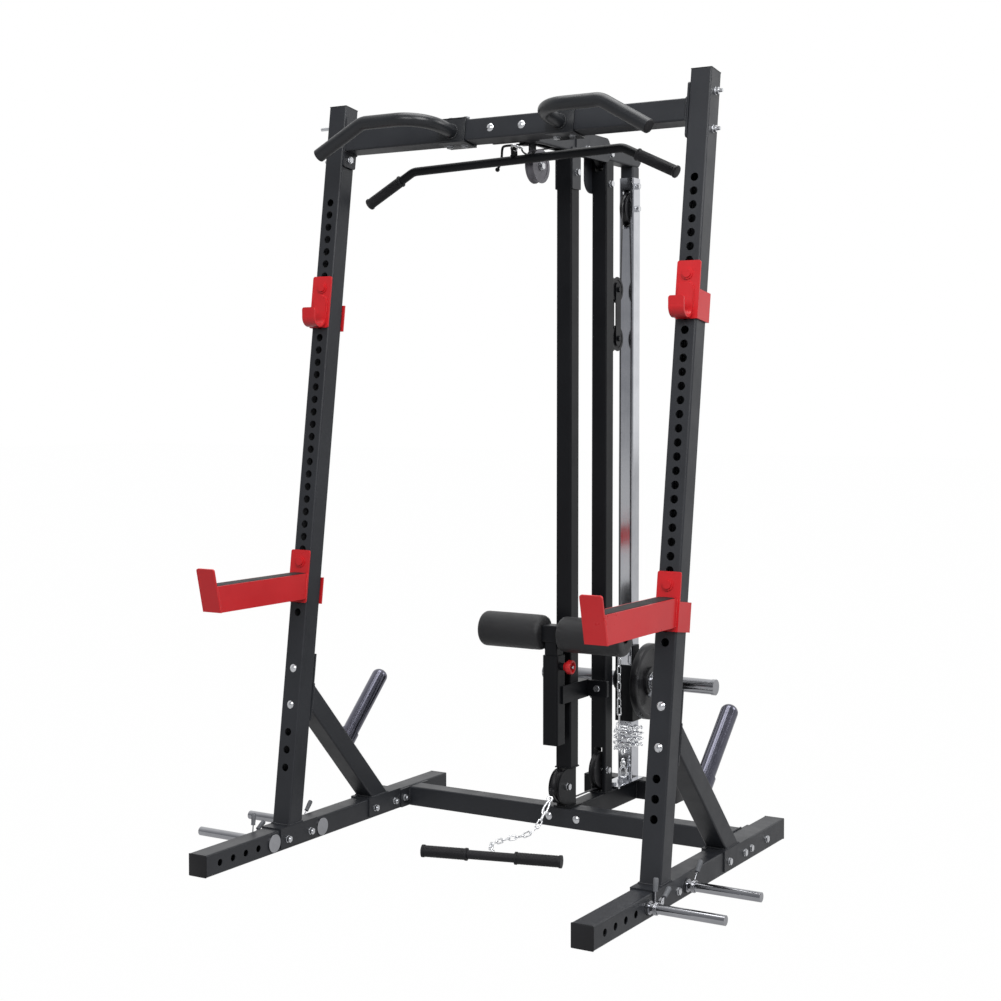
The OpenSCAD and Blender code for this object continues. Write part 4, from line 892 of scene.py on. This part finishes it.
for side in (-1, 1):
    x = side * FOOT_X
    near, far = Vector((x - HALF, 0, 0)), Vector((x + HALF, 0, 0))
    corners = ((-1, BASE_Y), (1, BASE_Y), (1, toe.y), (-1, toe.y))
    frame_welds.append(weld_loop([(x + a * HALF, y, SADDLE_Z + 0.0008) for a, y in corners], PAINT))
    for inside in ("saddle", "plate"):
        low, high = brace_point(-HALF, inside), brace_point(HALF, inside)
        frame_welds.append(weld_loop([low + near, low + far, high + far, high + near], PAINT))
    inner = side * (FOOT_X - HALF - 0.0065)
    frame_welds.append(weld_loop(three_sides((inner, 0, 0), (0, HALF, 0), 0.004, 0.0594), PAINT, 0.0026, False))
    middle = at_upright(inner, HALF, BEAM_ALONG)
    beam_end = rectangle(middle, Vector((0, COS, -SIN)) * HALF, Vector((0, SIN, COS)) * HALF)
    frame_welds.append(weld_loop(beam_end, PAINT, 0.0026))
    root = Vector((x, -0.3172, 0.2495)) + horn_axis * 0.0302
    frame_welds.append(weld_loop(circle(root, horn_axis, 0.0254, 48), PAINT, 0.0017))
    for y in (FRONT_PIN_Y, REAR_PIN_Y):
        frame_welds.append(weld_loop(circle((side * 0.6082, y, HALF), (1, 0, 0), 0.0172, 40), PAINT, 0.0022))
piece("frame_welds", joined("frame_welds", frame_welds, 60), PAINT, ROOT)
tower_welds.append(weld_loop(rectangle((0, 0.22, 0.0605), (0.025, 0, 0), (0, 0.025, 0)), BLACK))
tower_welds.append(weld_loop(rectangle((0, 0.0, 0.1785), (0.025, 0, 0), (0, 0.025, 0)), BLACK, 0.0024))
for y in (0.0365, 0.4098):
    tower_welds.append(weld_loop(three_sides((0, y, 0), (0.025, 0, 0), 0.004, 0.0585), BLACK, 0.0029, False))
tower_welds.append(weld_loop(rectangle((-0.016, -0.227, 1.9832), (0.008, 0, 0), (0, 0.011, 0)), BLACK, 0.0018))
piece("tower_welds", joined("tower_welds", tower_welds, 60), BLACK, ROOT)

cup_along = 1.787 - 7 * 0.036 - 0.090
cup_half, cup_top = 0.0215, cup_along + 0.0465
around = [(-cup_half, cup_along + 0.004)]
for a in map(math.radians, range(180, -1, -12)):
    around.append((cup_half * cos(a), cup_top + cup_half * sin(a)))
around += [(cup_half, cup_along + 0.004)]
hook_weld = weld_loop([(x, PLATE_FACE - 0.0008, z) for x, z in around], RED, 0.0022, False)
hook_weld = placed(joined("hook_weld", [hook_weld], 60), LEAN @ Matrix.Translation((FOOT_X, 0, 0)))
for word, mesh in both(hook_weld):
    piece(f"{word}_hook_weld", mesh, RED, f"{word}_hook")


def on_face(z):
    """Where the front of a hanger plate is at height z."""
    a = ((z - SADDLE_Z) + PLATE_FACE * SIN) / COS
    return at_upright(0, PLATE_FACE, a).y


def face_weld(*spots):
    """A bead on a hanger plate's front, through places given as x and z."""
    return weld_loop([(FOOT_X + x, on_face(z) - 0.0006, z) for x, z in spots], RED, 0.0026, False)


spotter_weld = [face_weld((edge, 0.699), (edge, 0.767)) for edge in (-ARM_WALL, ARM_WALL)]
spotter_weld.append(face_weld((-0.028, ARM_FOOT), (0.028, ARM_FOOT)))
for edge in (-ARM_WALL, ARM_WALL):
    foot = Vector((FOOT_X + edge, ARM_END - 0.0003, ARM_FOOT))
    rise_way = Vector((0, -sin(ARM_TILT), cos(ARM_TILT)))
    spotter_weld.append(weld_loop([foot, foot + rise_way * 0.072], RED, 0.0024, False))
for word, mesh in both(joined("spotter_weld", spotter_weld, 60)):
    piece(f"{word}_spotter_weld", mesh, RED, f"{word}_spotter")


# ---------- spring collars ----------
COLLAR_ARM, COLLAR_GRIP = 0.074, 0.034


def spring_collar(name, x, at, left, bar_r, wire, first, last, fat=0.0035):
    """Sprung wire clip on a bar along X: a coil of nearly four turns and two arms with grey grips."""
    r = bar_r + 0.00035 + wire / 2
    rise = wire * 0.92 * 3
    turns = 3 + ((first - last) % 360) / 360
    start = math.radians(first)

    def spot(i, n):
        a = start - 2 * pi * turns * i / n
        return Vector((wire / 2 + rise * i / n, r * cos(a), r * sin(a)))

    n = 100
    coil = [spot(i, n) for i in range(n + 1)]
    a1, a2 = math.radians(first), math.radians(last)
    w1, w2 = Vector((0, cos(a1), sin(a1))), Vector((0, cos(a2), sin(a2)))
    bare = COLLAR_ARM - r - 0.002
    lead_in = [coil[0] + w1 * bare * f for f in (1.0, 0.6, 0.25, 0.12, 0.05)]
    lead_out = [coil[-1] + w2 * bare * f for f in (0.05, 0.12, 0.25, 0.6, 1.0)]
    route = lead_in + coil[2:-2] + lead_out
    wires = ROD.grow(name, route, SHADED_CHROME, smooth=60, Radius=wire / 2, Sides=10)
    g = wire / 2 + fat
    profile = [
        (0, wire / 2 - 0.0002), (0.0005, g - 0.0012), (0.002, g - 0.0004), (0.005, g - 0.0009),
        (0.017, g - 0.0002), (0.030, g), (0.0332, g - 0.0012), (COLLAR_GRIP, g - 0.003), (COLLAR_GRIP, 0),
        (0.03, 0), (0.03, wire / 2 - 0.0002),
    ]
    grips = []
    for way, base in ((w1, coil[0]), (w2, coil[-1])):
        start = Vector((base.x, 0, 0)) + way * (COLLAR_ARM - COLLAR_GRIP)
        grips.append(placed(lathe(profile, 20, closed=True), aimed(start, way)))
    spot_at = Matrix.Translation((x, at[0], at[1]))
    wires, grips = placed(wires, spot_at), placed(joined(name + "_grips", grips), spot_at)
    if left:
        wires, grips = mirrored(wires), mirrored(grips)
    piece(name + "_spring", wires, SHADED_CHROME, name, [name])
    piece(name + "_grips", grips, CLIP_GREY, name)


for left, word in enumerate(("right", "left")):
    for which, y, high, low in (("front", FRONT_PIN_Y, 84, 30), ("rear", REAR_PIN_Y, 48, -12)):
        spring_collar(f"{word}_{which}_collar", 0.623, (y, HALF), left, 0.0125, 0.0034, high, low, 0.0050)
spring_collar("right_horn_collar", 0.090, HORN_AT, False, 0.023, 0.004, -100, -150)
spring_collar("left_horn_collar", 0.100, HORN_AT, True, 0.023, 0.004, -70, -120)


# ---------- foam rollers ----------
def foam_roller(name, side):
    """Foam sleeve on its bar: round shoulders, a dimpled skin and creases where it is squeezed at its inner end."""
    long = 0.206
    profile = [
        (0.0015, 0.0129), (0.0004, 0.022), (0.0002, 0.034), (0.0010, 0.0435), (0.0032, 0.0482), (0.0068, 0.0507),
        (0.012, 0.0518),
    ]
    profile += [(0.012 + (long - 0.024) * i / 44, 0.0521) for i in range(1, 44)]
    profile += [
        (long - 0.012, 0.0520), (long - 0.0062, 0.0510), (long - 0.0026, 0.0486), (long - 0.0006, 0.0445),
        (long, 0.036), (long - 0.0004, 0.022), (long - 0.0012, 0.0129),
    ]
    mesh = lathe(profile, 96, name, 70, closed=True)
    for v in mesh.vertices:
        radius = math.hypot(v.co.y, v.co.z)
        if radius < 0.014:
            continue
        around = math.atan2(v.co.z, v.co.y)
        ring = Vector((cos(around), sin(around), 0))
        inner = max(0.0, 1.0 - v.co.x / 0.040)
        crease = noise.noise(Vector((ring.x * 3.4, ring.y * 3.4, v.co.x * 22 + side * 5)))
        fold = abs(noise.noise(Vector((ring.x * 5.5, ring.y * 5.5, v.co.x * 60 + 3))))
        dent = noise.noise(Vector((ring.x * 1.4, ring.y * 1.4, v.co.x * 9 + 11)))
        pull = 0.0003 + 0.0006 * abs(dent) + inner * (0.0026 * abs(crease) + 0.0030 * fold)
        scale = (radius - pull) / radius
        v.co.y, v.co.z = v.co.y * scale, v.co.z * scale
        v.co.x += (0.0014 * abs(crease) if v.co.x < 0.003 else 0)
    shade(mesh, 70)
    mesh = placed(mesh, Matrix.Translation((0.028, *ROLLER_AXLE[1:])))
    node = "right_roller" if side > 0 else "left_roller"
    sleeve = piece(name, mesh if side > 0 else mirrored(mesh), FOAM, node, [node])


foam_roller("right_foam", 1)
foam_roller("left_foam", -1)
bar_plug = lathe([(0.2340, 0), (0.2340, 0.0122), (0.2345, 0.0124), (0.2350, 0.0118), (0.2350, 0)], 40)
bar_plug = placed(bar_plug, Matrix.Translation(ROLLER_AXLE))
piece("roller_bar_plugs", joined("roller_bar_plugs", [bar_plug, mirrored(bar_plug)]), PLASTIC, "leg_post")

# ---------- spotter pads ----------
pad_low, pad_high, pad_half = 0.747, 0.7705, 0.025
pad_side = pad_high - 0.0008
PAD_OUTLINE = ((-pad_half, pad_low), (pad_half, pad_low), (pad_half, pad_side), (0, pad_high), (-pad_half, pad_side))


def pad_mesh(name):
    """Wear strip in the arm: square ends, eased edges and a slightly crowned top."""
    bm = bmesh.new()
    count = 24
    rows = []
    for i in range(count + 1):
        f = i / count
        row = []
        for x, z in PAD_OUTLINE:
            front = ARM_END - (z - 0.697) / cos(ARM_TILT) * sin(ARM_TILT)
            back = on_face(z)
            row.append(bm.verts.new((FOOT_X + x, front + (back - front) * f, z)))
        rows.append(row)
    for a, b in zip(rows, rows[1:]):
        for j in range(5):
            bm.faces.new((a[j], a[(j + 1) % 5], b[(j + 1) % 5], b[j]))
    bm.faces.new(rows[0])
    bm.faces.new(rows[-1][::-1])
    bmesh.ops.recalc_face_normals(bm, faces=bm.faces)
    sharp = [e for e in bm.edges if e.calc_face_angle(0) > 0.8]
    bmesh.ops.bevel(bm, geom=sharp, offset=0.0018, segments=3, affect="EDGES")
    return mesh_of(bm, name, 40)


for word, mesh in both(pad_mesh("wear_strip")):
    strip = piece(f"{word}_wear_strip", mesh, PAD, f"{word}_spotter", [f"{word}_spotter_pad"])

# ---------- pull knob ----------
knob_place = Matrix.Translation((0, -0.081, 0.488))
knob_profile = [
    (0.0374, 0.0055), (0.0374, 0.0120), (0.0386, 0.0130), (0.0440, 0.0130), (0.0455, 0.0140),
    (0.0470, 0.0185), (0.0492, 0.0206), (0.0520, 0.0210), (0.0580, 0.0210), (0.0608, 0.0204),
    (0.0626, 0.0188), (0.0630, 0.0170), (0.0626, 0.0150), (0.0600, 0.0138),
    (0.0560, 0.0135), (0.0556, 0.0120), (0.0556, 0.0055),
]
knob = lathe(knob_profile, 72, "knob", 45, closed=True)
for v in knob.vertices:
    radius = math.hypot(v.co.y, v.co.z)
    if radius > 0.019:
        flute = 0.0007 * (0.5 - 0.5 * cos(12 * math.atan2(v.co.z, v.co.y)))
        v.co.y, v.co.z = v.co.y * (1 - flute / radius), v.co.z * (1 - flute / radius)
piece("knob", placed(knob, knob_place), RED, "pull_knob", ["pull_knob"])
plunger = lathe([
    (0.022, 0), (0.022, 0.0038), (0.0235, 0.005), (0.0625, 0.005), (0.0642, 0.0044), (0.065, 0.003), (0.065, 0),
], 32)
piece("plunger", placed(plunger, knob_place), SHADED_CHROME, "pull_knob")

# ---------- weight plate ----------
plate_place = Matrix.Translation((0, *HORN_AT))
plate_profile = [
    (0.0622, 0.024), (0.0620, 0.0300), (0.0620, 0.0440), (0.0635, 0.0452), (0.0668, 0.0462), (0.0670, 0.0480),
    (0.0670, 0.1000), (0.0667, 0.1018), (0.0632, 0.1032), (0.0620, 0.1050), (0.0620, 0.1150), (0.0632, 0.1180),
    (0.0655, 0.1190), (0.0825, 0.1190), (0.0848, 0.1180), (0.0860, 0.1150), (0.0860, 0.1050), (0.0848, 0.1032),
    (0.0770, 0.1015), (0.0762, 0.1000), (0.0760, 0.0480),
    (0.0762, 0.0464), (0.0846, 0.0452), (0.0860, 0.0440), (0.0860, 0.0300), (0.0858, 0.024),
]
plate = placed(lathe(plate_profile, 128, "plate", 30, closed=True), plate_place)
piece("plate", plate, PLATE, "carriage", ["weight_plate"])
insert = lathe(
    [(0.0619, 0.0240), (0.0617, 0.0285), (0.0621, 0.0292), (0.0859, 0.0292), (0.0863, 0.0285), (0.0861, 0.0240)],
    96, "insert", 30, closed=True,
)
piece("plate_insert", placed(insert, plate_place), ZINC, "carriage")


# ---------- wheel bearings ----------
def bearing(wheel, side):
    """Ball bearing in a wheel's hub: two races and a shield between them."""
    x = wheel[4]
    ring = [
        (x - 0.0025, 0.0052), (x + 0.0001, 0.0052), (x + 0.0003, 0.0056), (x + 0.0003, 0.0074), (x - 0.0003, 0.0076),
        (x - 0.0003, 0.0092), (x + 0.0003, 0.0094), (x + 0.0003, 0.0108), (x, 0.0112), (x - 0.0025, 0.0112),
    ]
    turned = lathe([(side * a, b) for a, b in ring], 40, "bearing", 30, closed=True)
    return placed(turned, Matrix.Translation((0, wheel[0], wheel[1])))


for name, wheel in (
    ("front_top_pulley", FRONT_WHEEL), ("rear_top_pulley", REAR_WHEEL), ("guide_pulley", GUIDE_WHEEL),
    ("low_front_pulley", LOW_FRONT_WHEEL), ("low_rear_pulley", LOW_REAR_WHEEL),
    ("float_upper_pulley", FLOAT_TOP_WHEEL), ("float_lower_pulley", FLOAT_LOW_WHEEL),
):
    piece(name + "_bearings", joined(name + "_bearings", [bearing(wheel, 1), bearing(wheel, -1)]), ZINC, name)


# ---------- floor, backdrop and light ----------
def pale(name, strength):
    """Floor that is white to the eye, pale in metal and a plain grey to everything that stands on it."""
    f = Finish(name, Base_Color=rgb(0.24, 0.24, 0.25), Roughness=0.9)
    path = f.node("ShaderNodeLightPath")
    seen = path.other("Is Camera Ray") + path.other("Is Transmission Ray") + 0.55 * path.other("Is Glossy Ray")
    glow = f.node("ShaderNodeEmission", None, {"Color": rgb(1, 1, 1), "Strength": 1.0})
    share = f.node("ShaderNodeMath", {"operation": "MINIMUM"}, {0: seen, 1: 1.0}) * strength
    mixed = f.node("ShaderNodeMixShader", None, {0: share, 1: Socket(f, f.shader.outputs[0]), 2: glow})
    f.join(mixed, f.tree.nodes["Material Output"].inputs["Surface"])
    return f.material


floor_mesh = bpy.data.meshes.new("floor")
floor_mesh.from_pydata([(-30, -30, 0), (30, -30, 0), (30, 30, 0), (-30, 30, 0)], [], [(0, 1, 2, 3)])
floor_mesh.materials.append(pale("pale floor", 0.995))
floor = bpy.data.objects.new("floor", floor_mesh)
link(floor)

world = bpy.data.worlds.new("studio")
bpy.context.scene.world = world
world.use_nodes = True
sky = Graph(world.node_tree)
background = world.node_tree.nodes["Background"]
path = sky.node("ShaderNodeLightPath")
direction = sky.node("ShaderNodeTexCoord", output="Generated")
backdrop_way = (-0.5, 0.86, 0.1)
toward_backdrop = sky.node("ShaderNodeVectorMath", {"operation": "DOT_PRODUCT"}, {0: direction, 1: backdrop_way}, 1)
mirrored_part = path.other("Is Glossy Ray") * toward_backdrop.over(-0.35, 0.45)
seen = path.other("Is Camera Ray") + path.other("Is Transmission Ray") + mirrored_part
share = sky.node("ShaderNodeMath", {"operation": "MINIMUM"}, {0: seen, 1: 1.0})
sky_colours = {0: share, 6: rgb(0.33, 0.335, 0.35), 7: rgb(1, 1, 1)}
sky.join(sky.node("ShaderNodeMix", {"data_type": "RGBA"}, sky_colours, 2), background.inputs["Color"])


def softbox(name, place, aim, size, power, colour=(1, 1, 1)):
    light = bpy.data.lights.new(name, "AREA")
    light.shape, light.size, light.size_y, light.energy, light.color = "RECTANGLE", size[0], size[1], power, colour
    lamp = bpy.data.objects.new(name, light)
    lamp.location = place
    lamp.rotation_euler = (Vector(aim) - Vector(place)).to_track_quat("-Z", "Y").to_euler()
    link(lamp)


softbox("key", (3.8, -3.0, 4.4), (0, -0.2, 1.2), (2.6, 2.6), 200)
softbox("front", (0.9, -5.4, 3.8), (0, -0.2, 1.2), (2.8, 2.0), 110)
softbox("top", (0, 0, 5.2), (0, 0, 1.0), (3.0, 3.0), 110)
softbox("rear", (3.8, 2.2, 3.6), (0, 0, 1.2), (2.4, 2.0), 60)
bpy.context.scene.view_settings.view_transform = "Standard"
